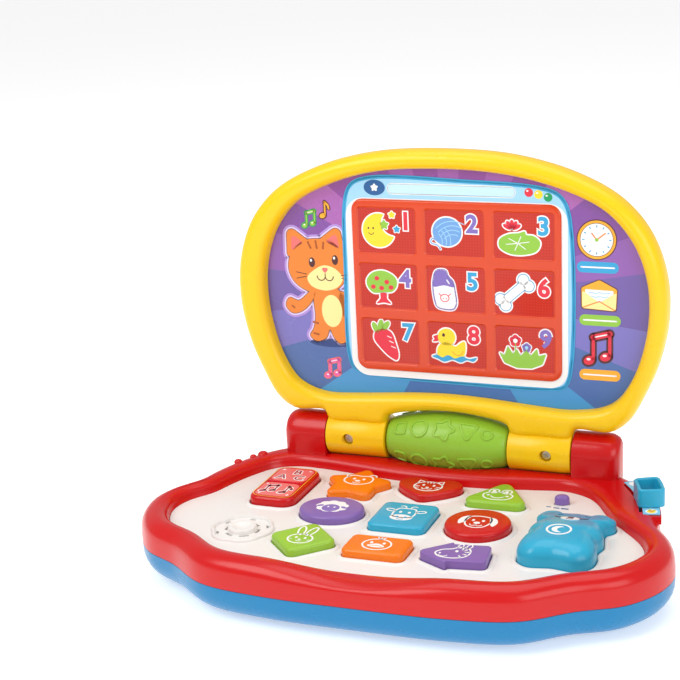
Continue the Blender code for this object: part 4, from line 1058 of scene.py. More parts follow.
def ringTree():
    tree = bpy.data.node_groups.new("ringOfCopies", "GeometryNodeTree")
    for name, kind in (("Geometry", "Geometry"), ("Copies", "Int"), ("Radius", "Float"),
            ("First Angle", "Float"), ("Finish", "Material")):
        tree.interface.new_socket(name, in_out="INPUT", socket_type="NodeSocket" + kind)
    tree.interface.new_socket("Geometry", in_out="OUTPUT", socket_type="NodeSocketGeometry")
    given = tree.nodes.new("NodeGroupInput").outputs
    index = tree.nodes.new("GeometryNodeInputIndex").outputs[0]
    share = mathNode(tree, "DIVIDE", index, given["Copies"])
    angle = mathNode(tree, "MULTIPLY_ADD", share, 2 * math.pi, given["First Angle"])
    arm = addNode(tree, "ShaderNodeCombineXYZ", {"X": given["Radius"]}).outputs[0]
    spin = addNode(tree, "ShaderNodeCombineXYZ", {"Z": angle}).outputs[0]
    place = addNode(tree, "ShaderNodeVectorRotate", {"Vector": arm, "Angle": angle},
        rotation_type="Z_AXIS").outputs[0]
    points = addNode(tree, "GeometryNodePoints", {"Count": given["Copies"], "Position": place})
    copies = addNode(tree, "GeometryNodeInstanceOnPoints", {"Points": points.outputs[0],
        "Instance": given["Geometry"], "Rotation": spin})
    real = addNode(tree, "GeometryNodeRealizeInstances", {0: copies.outputs[0]})
    finished = addNode(tree, "GeometryNodeSetMaterial", {"Geometry": real.outputs[0],
        "Material": given["Finish"]})
    addNode(tree, "NodeGroupOutput", {0: finished.outputs[0]})
    return tree


def ringOf(bm, count, radius, firstDeg, finishUsed):
    # copies of a shape round Z, drawn with +X outwards; returns the whole ring as a bmesh
    holder = putInScene("one", meshOf(bm, "one"))
    step = holder.modifiers.new("ring", "NODES")
    step.node_group = ringOfCopies
    values = {"Copies": count, "Radius": radius, "First Angle": math.radians(firstDeg),
        "Finish": finishUsed}
    for item in ringOfCopies.interface.items_tree:
        if item.in_out == "INPUT" and item.name in values:
            step[item.identifier] = values[item.name]
    made = evaluated(holder)
    holder.modifiers.remove(step)
    bpy.data.objects.remove(holder, do_unlink=True)
    for face in made.faces:
        face.material_index = 0
    return made


ringOfCopies = ringTree()
rollerLook = {"relief": 0.7, "line": 1.5}


def makeRoller():
    half = case["rollerHalf"]
    profile = []
    for k in range(33):
        x = half * (1 - 2 * k / 32)
        profile.append((rollerRadius(x), x))
    edge = [(profile[0][0] - 0.8, half)] + [(profile[0][0], half - 0.8)]
    outer = edge + profile[1:-1] + [(profile[-1][0], -half + 0.8), (profile[-1][0] - 0.8, -half)]
    bore = [(2.9, -half), (2.9, half)]
    body = turned(outer + bore, 96, "X", capped=False)
    relief = []
    columns = [(-28.0, "square", 4.0), (-15.5, "circle", 5.2), (0.0, "star", 7.4),
        (15.0, "triangle", 6.2), (26.5, "circle", 3.0)]
    for x, kind, size in columns:
        outline = {"square": rounded(rectangle(size * 1.7, size * 1.7), 1.4, 4),
            "triangle": rounded([(-size, -size * 0.8), (size, -size * 0.8), (0, size)], 1.3, 4),
            "star": starPoints(0, 0, size * 1.1, size * 0.6, 5, math.pi / 2, 0.16),
            "circle": ovalPoints(0, 0, size, size, 28)}[kind]
        outerLine, innerLine = grown(outline, rollerLook["line"] / 2), grown(outline,
            -rollerLook["line"] / 2)
        def wrapped(points, lift):
            ring = []
            for u, v in points:
                r = rollerRadius(x + u) + lift
                a = v / rollerRadius(x)
                ring.append((r * math.cos(a), r * math.sin(a), x + u))
            return ring
        one = loftRings([wrapped(outerLine, -0.3), wrapped(grown(outerLine, -0.1),
            rollerLook["relief"] - 0.2), wrapped(grown(outerLine, -0.35), rollerLook["relief"]),
            wrapped(grown(innerLine, 0.35), rollerLook["relief"]), wrapped(grown(innerLine, 0.1),
            rollerLook["relief"] - 0.2), wrapped(innerLine, -0.3)], capped=False)
        ring = ringOf(one, 5, 0.0, 12.0, plastic("green"))
        ring.transform(Matrix.Rotation(math.pi / 2, 4, "Y"))
        relief.append(ring)
    whole = together([body] + relief)
    makePiece("rollerDrum", moved(whole, 0, case["hingeY"], hingeZ), caseFrame, [plastic("green")],
        "roller", 40, ["roller"])
    print("roller done")


lid = {"outer": 8.2, "crest": -10.5, "labelFront": -2.2, "labelThick": 1.2, "screwX": 62.0,
    "screenX": 6.5, "screenV": 94.8, "screenW": 126.8, "screenH": 103.8, "proud": 1.8,
    "cellX": 41.5, "cellV": 33.5, "cellW": 36.0, "cellH": 27.5, "badgeV": 112.0, "badgeA": 39.5,
    "badgeB": 27.5, "gridHalf": 0.00085, "boreR": 2.9, "lensEdge": 1.4}


def halfBarrel(low, high, front):
    radius = case["barrelR"]
    rings = []
    for x, shrink in ((low, 0.7), (low + 0.2, 0.25), (low + 0.7, 0), (high - 0.7, 0),
            (high - 0.2, 0.25), (high, 0.7)):
        ring = []
        for k in range(41):
            a = math.pi * k / 40
            r = radius - shrink
            z = r * math.sin(a) + (gap if front else 0)
            z = min(z, radius) if front else z
            ring.append((x, r * math.cos(a), -z if front else z))
        rings.append(ring)
    return loftRings(rings)


def barrelSpans():
    return [sorted((side * case["barrelIn"], side * case["barrelOut"])) for side in (-1, 1)]


def shaftBores():
    bores = []
    for side in (-1, 1):
        for a, b in ((70 - gap, 79), (36, 44 + gap)):
            low, high = sorted((side * a, side * b))
            bores.append(turned([(lid["boreR"], low), (lid["boreR"], high)], 24, "X"))
    return bores


def makeLidShells():
    inner = [("o", 9.6, 5.8), ("o", 5.4, 5.2), ("o", 3.0, 3.4), ("o", 2.4, 0)]
    outer = [("o", 0, 0), ("o", 0.05, 2.2)]
    outer += [p[:3] for p in quarter("o", 0.1, 2.4, 8.4, lid["outer"], 9)] + [("o", 12,
        lid["outer"])]
    shell = loftRings([lidRing(*p) for p in inner + outer])
    jobs = [(halfBarrel(*span, False), "UNION") for span in barrelSpans()]
    for x in (-58, 58):
        for y in (-46, 46):
            post = moved(turned([(4, 5.2), (4, 6.6)], 24), lid["screenX"] + x, -lid["screenV"] + y)
            jobs.append((post, "UNION"))
    jobs += [(bore, "DIFFERENCE") for bore in shaftBores()]
    for side in (-1, 1):
        jobs.append((moved(turned([(1.75, -1), (1.75, 9.4)], 20), side * lid["screwX"]),
            "DIFFERENCE"))
    makePiece("lidBack", carve(shell, jobs), lidFrame, [plastic("yellow")], "lid",
        36, ["lid_back_shell"])
    crest = lid["crest"]
    profile = [("o", 0, -gap), ("o", 0.05, -3.4)]
    profile += [p[:3] for p in quarter("o", 0.12, -3.6, 6.4, crest, 9)]
    profile += [p[:3] for p in quarter("i", 5.6, crest, 0.3, -4.8, 8, flatFirst=True)]
    profile += [("i", 0.05, -3.4), ("i", 0, -2.5), ("i", 2, -2.5), ("i", 2.9, -6.6),
        ("i", 4.4, -8.2), ("o", 5.6, -8.2), ("o", 2.5, -gap)]
    bezel = loftRings([lidRing(*p) for p in profile], capped=False)
    jobs = [(halfBarrel(*span, True), "UNION") for span in barrelSpans()]
    jobs += [(bore, "DIFFERENCE") for bore in shaftBores()]
    for side in (-1, 1):
        sink = turned([(3.9, -14), (3.6, -13.2), (3.6, -8.6), (1.9, -8.6), (1.9, 0.5)], 32)
        jobs.append((moved(sink, side * lid["screwX"]), "DIFFERENCE"))
    makePiece("lidRim", carve(bezel, jobs), lidFrame, [plastic("yellow")], "lid",
        36, ["lid_bezel"])


def screenOutline(margin, radius=7.0, steps=10):
    edge = rectangle(lid["screenW"] + 2 * margin, lid["screenH"] + 2 * margin,
        (lid["screenX"], -lid["screenV"]))
    return rounded(edge, radius, steps)


def cellMiddles():
    return [(lid["screenX"] + column * lid["cellX"],
        -lid["screenV"] + row * lid["cellV"]) for row in (-1, 0, 1) for column in (-1, 0, 1)]


rays = {"middle": (6.0, 90.0), "sectors": [(-180, (0.110, 0.085, 0.345)),
    (-173, (0.155, 0.155, 0.50)), (-162, (0.035, 0.130, 0.37)), (-145, (0.028, 0.30, 0.62)),
    (-120, (0.020, 0.15, 0.42)), (-60, (0.028, 0.30, 0.62)), (-36.7, (0.030, 0.135, 0.38)),
    (-20, (0.155, 0.155, 0.50)), (-8, (0.110, 0.085, 0.345)), (8.5, (0.235, 0.090, 0.400)),
    (20.5, (0.165, 0.045, 0.300)), (36.6, (0.37, 0.105, 0.40)), (50, (0.205, 0.030, 0.260)),
    (62, (0.30, 0.075, 0.36)), (74, (0.205, 0.030, 0.260)), (86, (0.30, 0.075, 0.36)),
    (97, (0.205, 0.030, 0.260)), (108, (0.30, 0.075, 0.36)), (118, (0.205, 0.030, 0.260)),
    (140, (0.37, 0.105, 0.40)), (151, (0.165, 0.045, 0.300)), (163, (0.235, 0.090, 0.400)),
    (173.5, (0.110, 0.085, 0.345))]}


def rayFinish():
    # rays of colour round a point behind the screen, worked out from the sheet's own coordinates,
    # and a painted sheen that turns them lighter and pinker towards the top
    mat, tree, shader = nodesOf("labelRays")
    where = mould(tree, shader, 0.26, 0.01, grain["ink"], 0.03)[0]
    up = lidFrame.to_3x3().normalized() @ Vector((0, -1, 0))
    middle = lidFrame @ Vector((rays["middle"][0], -rays["middle"][1], 0))
    offset = addNode(tree, "ShaderNodeVectorMath", {0: where, 1: middle},
        operation="SUBTRACT").outputs[0]
    across, along = (addNode(tree, "ShaderNodeVectorMath", {0: offset, 1: axis},
        operation="DOT_PRODUCT").outputs["Value"] for axis in ((1, 0, 0), up))
    angle = mathNode(tree, "ARCTAN2", along, across)
    ramp = addNode(tree, "ShaderNodeValToRGB", {"Fac": mathNode(tree, "MULTIPLY_ADD", angle,
        1 / (2 * math.pi), 0.5)})
    ramp.color_ramp.interpolation = "CONSTANT"
    stops = ramp.color_ramp.elements
    while len(stops) > 1:
        stops.remove(stops[-1])
    for k, (degrees, colour) in enumerate(rays["sectors"]):
        stop = stops[0] if k == 0 else stops.new((degrees + 180) / 360)
        stop.position = (degrees + 180) / 360
        stop.color = (*colour, 1)
    # painted sheen: the rays are mixed lighter and pinker towards the lid's top
    tone = mapRange(tree, along, -0.09, 0.09, 0.0, 0.22)
    dress(tree, shader, base=mixColours(tree, tone, ramp.outputs["Color"], (0.42, 0.12, 0.50)),
        coat=0.35, coatRough=0.12)
    return mat


def cellFinish():
    # a fine square grid seen through the red lens
    mat, tree, shader = nodesOf("screenCells")
    where = mould(tree, shader, 0.3, 0.02)[0]
    split = addNode(tree, "ShaderNodeSeparateXYZ", {0: where})
    half = lid["gridHalf"]
    waves = [mapRange(tree, mathNode(tree, "PINGPONG", split.outputs[axis], half), 0.0, half, 0.0,
        1.0) for axis in ("X", "Z")]
    both = mathNode(tree, "MINIMUM", *waves)
    dress(tree, shader, base=mixColours(tree, both, (0.50, 0.012, 0.0), (0.64, 0.024, 0.0)),
        coat=0.1, coatRough=0.15)
    return mat


def lensFinish():
    # tinted orange lens
    mat, tree, shader = nodesOf("tintedLens")
    drift = mould(tree, shader, 0.2, 0.01, 800.0, 0.03)[1]
    dress(tree, shader, base=mixColours(tree, drift, (0.66, 0.042, 0.0), (0.72, 0.058, 0.0)),
        coat=0.15, coatRough=0.08)
    return mat


def makeScreen():
    front = lid["labelFront"]
    label = prism([(x, -v) for x, v in between(lidEdge, windowEdge, "i", 2.3)], front,
        front + lid["labelThick"])
    label = carve(label, [(prism(screenOutline(gap), front - 1, front + 3), "DIFFERENCE")])
    makePiece("labelSheet", label, lidFrame, [rayFinish()], "lid", 30,
        ["lid_label"])
    low = front + lid["labelThick"] + gap
    top = front - lid["proud"]
    edge = lid["lensEdge"]
    steps = [(screenOutline(-edge * (1 - up)), top + edge * across) for across,
        up in quarterTurn(6, 0)]
    steps += [(screenOutline(0), low), (screenOutline(2.6), low + 0.001), (screenOutline(2.6),
        low + 1.1)]
    lens = stepped(steps)
    jobs = []
    for mid in cellMiddles():
        w, h = lid["cellW"], lid["cellH"]
        pocket = []
        for spread, z in ((0.5, -6), (0.45, top - 0.01), (0.1, top + 0.25), (-0.25, -3.3),
                (-0.4, -3.2)):
            pocket.append((rounded(rectangle(w + 2 * spread, h + 2 * spread, mid), 2.0 + spread, 6),
                z))
        jobs.append((stepped(pocket), "DIFFERENCE"))
    lens = carve(lens, jobs)
    for face in lens.faces:
        inCell = abs(face.calc_center_median().z + 3.2) < 0.02 and abs(face.normal.z) > 0.9
        face.material_index = 1 if inCell else 0
    makePiece("screenWindow", lens, lidFrame, [lensFinish(), cellFinish()], "lid",
        34, ["screen_lens"])


def faceDown(sheet, depth):
    # turns a sheet drawn in (x, v) to face the lid's front at this depth
    for vert in sheet["bm"].verts:
        vert.co = Vector((vert.co.x, -vert.co.y, depth - vert.co.z))


def drawFrame(sheet):
    outline = [(-61, 147), (-56.5, 155.5), (-45, 159.6), (8, 159), (62, 155.4), (70.5, 150.5),
        (75, 139), (75, 48), (71, 39.5), (62, 37.6), (6, 37.4), (-50, 39.5), (-59.5, 42.5),
        (-63, 52), (-63, 100)]
    outer = smoothClosed(outline, 6)
    printLine(sheet, outer, "sky", 1.4, 7, closed=True)
    printShape(sheet, outer, "sky", 7)
    printShape(sheet, grown(outer, -1.6), "pale", 8)
    printShape(sheet, rounded(rectangle(134, 108.5, (6.4, 93.0)), 11, 12), "white", 9)
    title = rounded(rectangle(77, 6.0, (4.5, 153.0)), 2.9)
    printLine(sheet, title, "white", 0.8, 9, closed=True)
    printShape(sheet, title, "mist", 9)
    printOval(sheet, -42.0, 153.4, 6.6, 4.6, 36, "navy", 10)
    printShape(sheet, starPoints(-42.0, 153.4, 3.2, 1.5), "white", 11)
    for x, v, name in ((51, 153.2, "red"), (56.6, 152.2, "yellow"), (62.2, 150.8, "deepGreen")):
        printOval(sheet, x, v, 2.5, 2.5, 28, name, 9)
        printOval(sheet, x - 0.8, v + 0.9, 0.7, 0.5, 14, "white", 10)


def drawPet(sheet):
    # a plain orange kitten with a pale glow, waving
    body = smoothClosed([(-82, 92), (-76, 94), (-68, 91), (-62.5, 84), (-62, 70), (-63, 60),
        (-68, 57.5), (-72, 61), (-74.5, 66), (-77, 60.5), (-83.5, 58.2), (-87.5, 61.5), (-85, 66),
        (-83.5, 74), (-84, 84)], 5)
    armUp = smoothClosed([(-82, 90), (-86, 82), (-92, 76.5), (-98.5, 75), (-102.5, 79.5),
        (-100, 84.5), (-94, 83), (-88, 87.5), (-83, 92)], 5)
    armDown = smoothClosed([(-66, 90), (-60, 85), (-58.5, 77), (-62, 73.5), (-66.5, 76), (-68, 83)],
        5)
    head = smoothClosed([(-80, 121.5), (-70, 120), (-63.5, 112), (-62, 101), (-66, 93), (-76, 88.5),
        (-87, 89), (-96, 94.5), (-99.5, 103), (-97, 112.5), (-90, 119.5)], 6)
    earLeft = rounded([(-100, 108), (-99.5, 130), (-84, 119)], [2, 3.5, 2], 6)
    earRight = rounded([(-80, 120), (-65.5, 131), (-62, 111)], [2, 3.5, 2], 6)
    parts = [body, armUp, armDown, head, earLeft, earRight]
    for name, width, layer in (("glow", 5.2, 1), ("glowCore", 2.6, 2)):
        for part in parts:
            printLine(sheet, part, name, width, layer, closed=True)
    printOval(sheet, -74, 57.4, 14, 2.6, 32, "shade", 2)
    for part in (body, armUp, armDown, earLeft, earRight, head):
        printLine(sheet, part, "dark", 0.7, 3, closed=True)
    for part in (body, armUp, armDown):
        printShape(sheet, part, "kitten", 4)
    for part in (earLeft, earRight):
        printShape(sheet, part, "kitten", 4)
        printShape(sheet, shrunkTo(part, 0.5), "rose", 5)
    printShape(sheet, head, "kitten", 5)
    printOval(sheet, -72.5, 77.5, 6.6, 10.0, 32, "cream", 5)
    printShape(sheet, smoothClosed([(-82, 103), (-76, 105.5), (-69, 103.5), (-64.5, 98),
        (-68, 92.5), (-76, 90), (-85, 92.5), (-87.5, 97.5)], 5), "cream", 6)
    for x, v in ((-84.0, 107.0), (-69.0, 109.0)):
        printOval(sheet, x, v, 2.0, 3.0, 26, "dark", 6)
        printOval(sheet, x - 0.5, v + 1.2, 0.7, 0.9, 14, "white", 7)
    printShape(sheet, rounded([(-78.6, 104.0), (-73.0, 104.0), (-75.8, 100.4)], 0.9, 5), "rose", 7)
    printLine(sheet, [(-75.8, 100.4), (-75.8, 98.6)], "dark", 0.6, 7)
    for side in (-1, 1):
        printArc(sheet, -75.8 + side * 2.6, 98.8, 2.6, 180, 360, 12, "dark", 0.6, 7)
    for side, x in ((-1, -88.0), (1, -65.5)):
        for lift in (-1.6, 1.2):
            printLine(sheet, [(x, 99 + lift * 0.5), (x + side * 6.4, 99 + lift * 1.4)], "dark", 0.4,
                7)
    for dx in (-5, 0, 5):
        printLine(sheet, [(-81 + dx, 120.0 - abs(dx) * 0.15), (-80.4 + dx * 0.8, 115.8)], "stripe",
            1.3, 6)
    for v in (70, 63):
        printLine(sheet, [(-85, v), (-82, v - 0.6)], "stripe", 1.2, 5)
    printLine(sheet, [(-98.5, 79.5), (-97, 78.4)], "stripe", 1.0, 5)


def shrunkTo(points, share):
    cx = sum(p[0] for p in points) / len(points)
    cy = sum(p[1] for p in points) / len(points)
    return [(cx + (x - cx) * share, cy + (y - cy) * share) for x, y in points]


def drawClock(sheet, x, v):
    for r, name, layer in ((11.6, "dark", 1), (11.0, "amber", 2), (9.6, "dark", 3),
            (9.3, "white", 4)):
        printOval(sheet, x, v, r, r, 60, name, layer)
    mark = prism(ovalPoints(0, 0, 0.75, 0.36, 12), 0, 5 * sheet["step"])
    marks = ringOf(mark, 12, 7.7, 0.0, ink("sky"))
    addTo(sheet, moved(marks, x, v), "sky")
    for degrees, length in ((128, 4.6), (38, 6.2)):
        a = math.radians(degrees)
        printLine(sheet, [(x, v), (x + length * math.cos(a), v + length * math.sin(a))], "orange",
            0.7, 6)
    printOval(sheet, x, v, 1.0, 1.0, 16, "green", 7)


def drawEnvelope(sheet, x, v):
    body = rounded([(x - 10.2, v - 7.6), (x + 9.6, v - 8.6), (x + 10.2, v + 4.0), (x, v + 9.2),
        (x - 10.4, v + 4.4)], [1.6, 1.6, 1.6, 2, 1.6], 5)
    printLine(sheet, body, "dark", 1.0, 1, closed=True)
    printShape(sheet, body, "amber", 2)
    letter = [(x - 8.4, v + 3.6), (x - 8.0, v - 1.8), (x, v - 4.4), (x + 7.8, v - 2.2),
        (x + 8.2, v + 3.2)]
    printShape(sheet, rounded(letter, 0.8, 4), "white", 3)
    for k in (0, 1):
        wave = [(x - 6 + 1.5 * j, v + 1.6 - 2.2 * k + 0.35 * math.sin(j * 1.9)) for j in range(9)]
        printLine(sheet, wave, "pale", 0.5, 4)
    printShape(sheet, rounded([(x - 10.0, v + 2.8), (x - 10.0, v - 7.4), (x + 9.4, v - 8.4),
        (x + 10.0, v + 2.4), (x, v - 4.0)], [0.6, 1.4, 1.4, 0.6, 1.0], 5), "cream", 5)
    for end in ((x - 9.4, v - 7.0), (x + 8.8, v - 8.0)):
        printLine(sheet, [(x, v - 3.2), end], "orange", 0.6, 6)


def drawPill(sheet, x, v, name):
    pill = rounded(rectangle(24, 6.4, (x, v)), 3.1)
    printShape(sheet, pill, name, 2)
    printLine(sheet, [(x - 9.5, v), (x + 9.5, v)], "white", 0.9, 3)


def drawLabel():
    sheet = newSheet(0.045)
    drawPet(sheet)
    drawFrame(sheet)
    drawClock(sheet, 90, 127.6)
    drawPill(sheet, 90.6, 111.8, "sky")
    drawEnvelope(sheet, 91.6, 95.4)
    drawPill(sheet, 92.0, 81.0, "green")
    drawDoubleNote(sheet, 92, 64.2, 9.2, "red", "dark", 2, "white")
    drawPill(sheet, 92.0, 48.6, "amber")
    drawDoubleNote(sheet, -84, 133.2, 5.0, "green", "deepGreen", 2, "white")
    drawNote(sheet, -74.5, 139.0, 4.8, "amber", "dark", 2)
    drawDoubleNote(sheet, -73.2, 41.4, 5.8, "pink", "rose", 2, "white")
    faceDown(sheet, lid["labelFront"] + 0.02)
    layDown("labelPictures", sheet, lidFrame, "lid")


# The nine screen pictures are drawn about each cell's middle with +Y up.
def edged(sheet, points, name, edge="white", width=1.7):
    printLine(sheet, points, edge, width, 1, closed=True)
    printShape(sheet, points, name, 2)


def drawMoon(sheet):
    moon = arcPoints(-5.0, 0, 10.0, 70, 340, 30) + arcPoints(4.1, 4.3, 7.65, 272.2, 138.2, 20)[1:-1]
    edged(sheet, moon, "yellow")
    for x, y, r, name in ((3.4, 9.4, 2.5, "yellow"), (-1.6, 3.4, 3.4, "green"),
            (6.2, 1.0, 2.5, "sky")):
        edged(sheet, starPoints(x, y, r, r * 0.55, soft=0.12), name, width=1.1)
    for x in (-11.4, -8.4):
        printOval(sheet, x, 1.2, 0.5, 0.65, 14, "dark", 3)
    printArc(sheet, -9.8, -1.0, 1.6, 200, 340, 10, "dark", 0.4, 3)


def drawYarn(sheet):
    tail = smoothOpen([(-10, -4.5), (-13.6, -3.6), (-14.2, -6.2), (-10.4, -7.4), (-8.6, -9.6)])
    printLine(sheet, tail, "white", 1.7, 1)
    printLine(sheet, tail, "blue", 0.6, 3)
    edged(sheet, ovalPoints(-4.4, 0.6, 8.8, 8.4, 56), "blue")
    for k in range(4):
        printArc(sheet, -4.4 + 3.6, 0.6 - 7.6, 6.2 + 2.6 * k, 62, 146 - 3 * k, 16, "pale", 0.45, 3)
    for k in range(3):
        printArc(sheet, -13.6, -5.4, 6.2 + 2.6 * k, -12, 48, 12, "pale", 0.45, 3)


def drawLily(sheet):
    pad = smoothClosed([(-3, 1.6), (0.6, 2.6), (1.4, 0.8), (6, 0.2), (9.6, -3.4), (7.6, -8.4),
        (0, -10.9), (-9, -10.4), (-14.6, -6.8), (-14.4, -2.4), (-9, 0.8)], 6)
    for k in range(5):
        a = math.radians(30 + 30 * k)
        petal = ovalPoints(-7 + 3.4 * math.cos(a), 3.4 + 3.2 * math.sin(a), 2.6, 1.15, 18, a)
        edged(sheet, petal, "red", width=1.5)
    edged(sheet, pad, "green")
    for a in (15, 75, 140, 190, 255, 310):
        r = math.radians(a)
        printLine(sheet, [(-3.5, -4.4), (-3.5 + 7 * math.cos(r), -4.4 + 4.2 * math.sin(r))],
            "white", 0.45, 3)


def drawTree(sheet):
    trunk = smoothClosed([(-5.4, -4.4), (-1.6, -4.4), (-1.4, -7.6), (1.0, -10.4), (-3.5, -10.0),
        (-8.0, -10.6), (-5.6, -7.6)], 4)
    edged(sheet, trunk, "red")
    crown = smoothClosed([(-4.5, 9.4), (0.5, 8.2), (4.6, 5.0), (5.0, 0.6), (2.2, -3.0),
        (-3.6, -3.6), (-9.8, -4.2), (-13.4, -0.6), (-13.8, 3.4), (-10.6, 7.6)], 6)
    edged(sheet, crown, "green")
    for x, y in ((-7.4, 4.6), (-1.2, 2.6), (1.4, -0.6), (-9.8, -0.6), (-4.6, -1.2)):
        printOval(sheet, x, y, 1.5, 1.35, 18, "red", 3)


def drawBottle(sheet):
    shape = smoothClosed([(-11.6, 11.0), (-5.8, 11.2), (-4.6, 8.2), (-1.6, 4.8), (-0.4, -1),
        (0.2, -8.6), (-1.6, -11.6), (-7, -12.0), (-11.6, -10.6), (-13.2, -6), (-14.0, 1.5),
        (-13.6, 6)], 5)
    printLine(sheet, shape, "white", 2.2, 1, closed=True)
    printLine(sheet, shape, "violet", 0.8, 2, closed=True)
    printShape(sheet, shape, "white", 2)
    printShape(sheet, smoothClosed([(-11.4, 10.8), (-6.0, 11.0), (-4.8, 8.0), (-1.9, 4.6),
        (-1.2, 1.6), (-7, 2.4), (-13.6, 1.4), (-13.2, 6)], 5), "violet", 3)
    printLine(sheet, [(-5.2, 5.6), (-3.9, 3.6)], "white", 0.8, 4)
    ring = ovalPoints(-6.8, -5.2, 2.6, 2.2, 28)
    printLine(sheet, ring, "red", 0.5, 3, closed=True)
    for side in (-1, 1):
        printLine(sheet, [(-6.8 + side * 2.4, -3.8), (-6.8 + side * 3.6, -2.6)], "red", 0.5, 3)
        printOval(sheet, -6.8 + side * 0.9, -5.6, 0.35, 0.35, 10, "red", 3)


def drawBone(sheet):
    a = math.atan2(9.6, 11.0)
    ends = [(-11.4, -4.6), (-0.4, 5.0)]
    shapes = []
    for x, y, way in ((*ends[0], math.pi), (*ends[1], 0)):
        for spread in (-0.9, 0.9):
            shapes.append(ovalPoints(x + 3.0 * math.cos(a + way + spread),
                y + 3.0 * math.sin(a + way + spread), 3.1, 3.1, 28))
    side = Vector((-math.sin(a), math.cos(a))) * 2.4
    shapes.append([(ends[0][0] + side.x, ends[0][1] + side.y), (ends[0][0] - side.x,
        ends[0][1] - side.y), (ends[1][0] - side.x, ends[1][1] - side.y), (ends[1][0] + side.x,
        ends[1][1] + side.y)])
    for name, width, layer in (("white", 2.6, 1), ("sky", 0.9, 2)):
        for shape in shapes:
            printLine(sheet, shape, name, width, layer, closed=True)
    for shape in shapes:
        printShape(sheet, shape, "white", 3)


def drawCarrot(sheet):
    for x, y, turn in ((-9.6, 7.8, 2.0), (-6.2, 9.4, 1.4), (-3.0, 9.2, 0.9)):
        edged(sheet, ovalPoints(x, y, 3.6, 1.7, 26, turn), "green", width=1.4)
    root = smoothClosed([(-9.6, 5.4), (-4.4, 7.4), (0.4, 5.4), (3.0, -1.0), (4.6, -8.4),
        (3.4, -11.6), (-0.6, -10.0), (-6.6, -4.6), (-10.6, 1.0)], 6)
    edged(sheet, root, "red")
    for x, y in ((-1.0, 2.6), (0.2, -0.4), (1.4, -3.6)):
        printLine(sheet, [(x - 1.2, y + 0.4), (x + 1.4, y - 0.6)], "white", 0.5, 3)


def drawDuck(sheet):
    sea = smoothClosed([(-15.6, -7.6), (-12.4, -6.6), (-9.4, -8.0), (-5.6, -6.4), (-1.6, -8.2),
        (3, -6.6), (7, -8.0), (12, -7.0), (10, -9.4), (6, -8.8), (2, -10.4), (-3, -9.0),
        (-8, -10.6), (-12, -9.0)], 4)
    body = smoothClosed([(-11.8, -7.4), (-11.6, -1.4), (-6.6, 1.6), (-1, -0.8), (2.0, 1.4),
        (4.6, 2.4), (5.2, -2.6), (3.4, -7.2), (-3, -8.4)], 6)
    head = ovalPoints(-6.4, 4.6, 5.4, 5.2, 40)
    beak = smoothClosed([(-11.4, 5.4), (-14.6, 4.6), (-14.0, 3.2), (-15.0, 1.6), (-11.2, 2.4)], 5)
    for shape in (beak, body, head, sea):
        printLine(sheet, shape, "white", 1.7, 1, closed=True)
    printShape(sheet, beak, "red", 2)
    printShape(sheet, body, "yellow", 3)
    printShape(sheet, head, "yellow", 3)
    printOval(sheet, -8.2, 5.8, 0.9, 1.1, 18, "dark", 4)
    printArc(sheet, 0.4, -3.0, 3.2, 200, 350, 12, "amber", 0.6, 4)
    printShape(sheet, sea, "sky", 5)


def drawFlowers(sheet):
    for x, y, low in ((-5.8, 4.8, -5), (0.8, 1.0, -6)):
        printLine(sheet, [(x, y), (x, low)], "white", 1.3, 1)
        printLine(sheet, [(x, y), (x, low)], "green", 0.5, 3)
    for x, y, r, name, heart in ((-5.8, 5.0, 1.7, "red", "white"), (0.9, 1.2, 1.3, "violet",
            "pale")):
        for k in range(5):
            a = 2 * math.pi * k / 5 + 0.3
            edged(sheet, ovalPoints(x + r * 1.15 * math.cos(a), y + r * 1.15 * math.sin(a), r, r,
                18), name, width=1.2)
        printOval(sheet, x, y, r * 0.8, r * 0.8, 16, heart, 4)
    tips = [(-16, -1.8), (-12.6, -4.2), (-10.4, 1.8), (-7.4, -3.0), (-5, 0.0), (-2.6, -4.0),
        (0.8, 0.2), (3.2, -3.6), (7.2, 1.0), (8.0, -3.4), (12.6, -2.0), (10.4, -8.4), (4, -11.2),
        (-5, -11.4), (-12.6, -8.6)]
    edged(sheet, rounded(tips, [0.4] * 11 + [2, 3, 3, 2], 4), "green")


def smoothOpen(points, steps=6):
    made = []
    for k in range(len(points) - 1):
        a, b = Vector(points[k]), Vector(points[k + 1])
        before = Vector(points[k - 1]) if k else a
        after = Vector(points[k + 2]) if k + 2 < len(points) else b
        for step in range(steps):
            made.append(tuple(curvePoint(before, a, b, after, step / steps)))
    made.append(points[-1])
    return made


digits = {"size": 14.5, "halo": 1.25, "fatten": 0.5, "depth": -3.18}
screenPictures = [(drawMoon, "red", (11.8, 5.4)), (drawYarn, "violet", (10.6, 5.2)),
    (drawLily, "sky", (11.5, 5.4)), (drawTree, "violet", (10.4, 4.6)), (drawBottle, "sky",
    (10.2, 4.8)), (drawBone, "red", (11.5, 3.1)), (drawCarrot, "sky", (10.9, 5.6)),
    (drawDuck, "red", (10.4, 6.0)), (drawFlowers, "violet", (12.4, 6.4))]


def drawScreen():
    sheet = newSheet(0.045)
    middles = [(x, -y) for x, y in sorted(cellMiddles(), key=lambda m: (m[1], m[0]))]
    for k, (draw, name, spot) in enumerate(screenPictures):
        one = newSheet(sheet["step"])
        draw(one)
        body = str(k + 1)
        printDigit(one, body, *spot, digits["size"], "white", digits["halo"], 1)
        printDigit(one, body, *spot, digits["size"], name, digits["fatten"], 2)
        order = [inkIndex(sheet, n) for n in one["inks"]]
        for face in one["bm"].faces:
            face.material_index = order[face.material_index]
        pour(sheet["bm"], meshOf(moved(one["bm"], *middles[k]), "picture"))
    faceDown(sheet, digits["depth"])
    layDown("screenPictures", sheet, lidFrame, "lid")


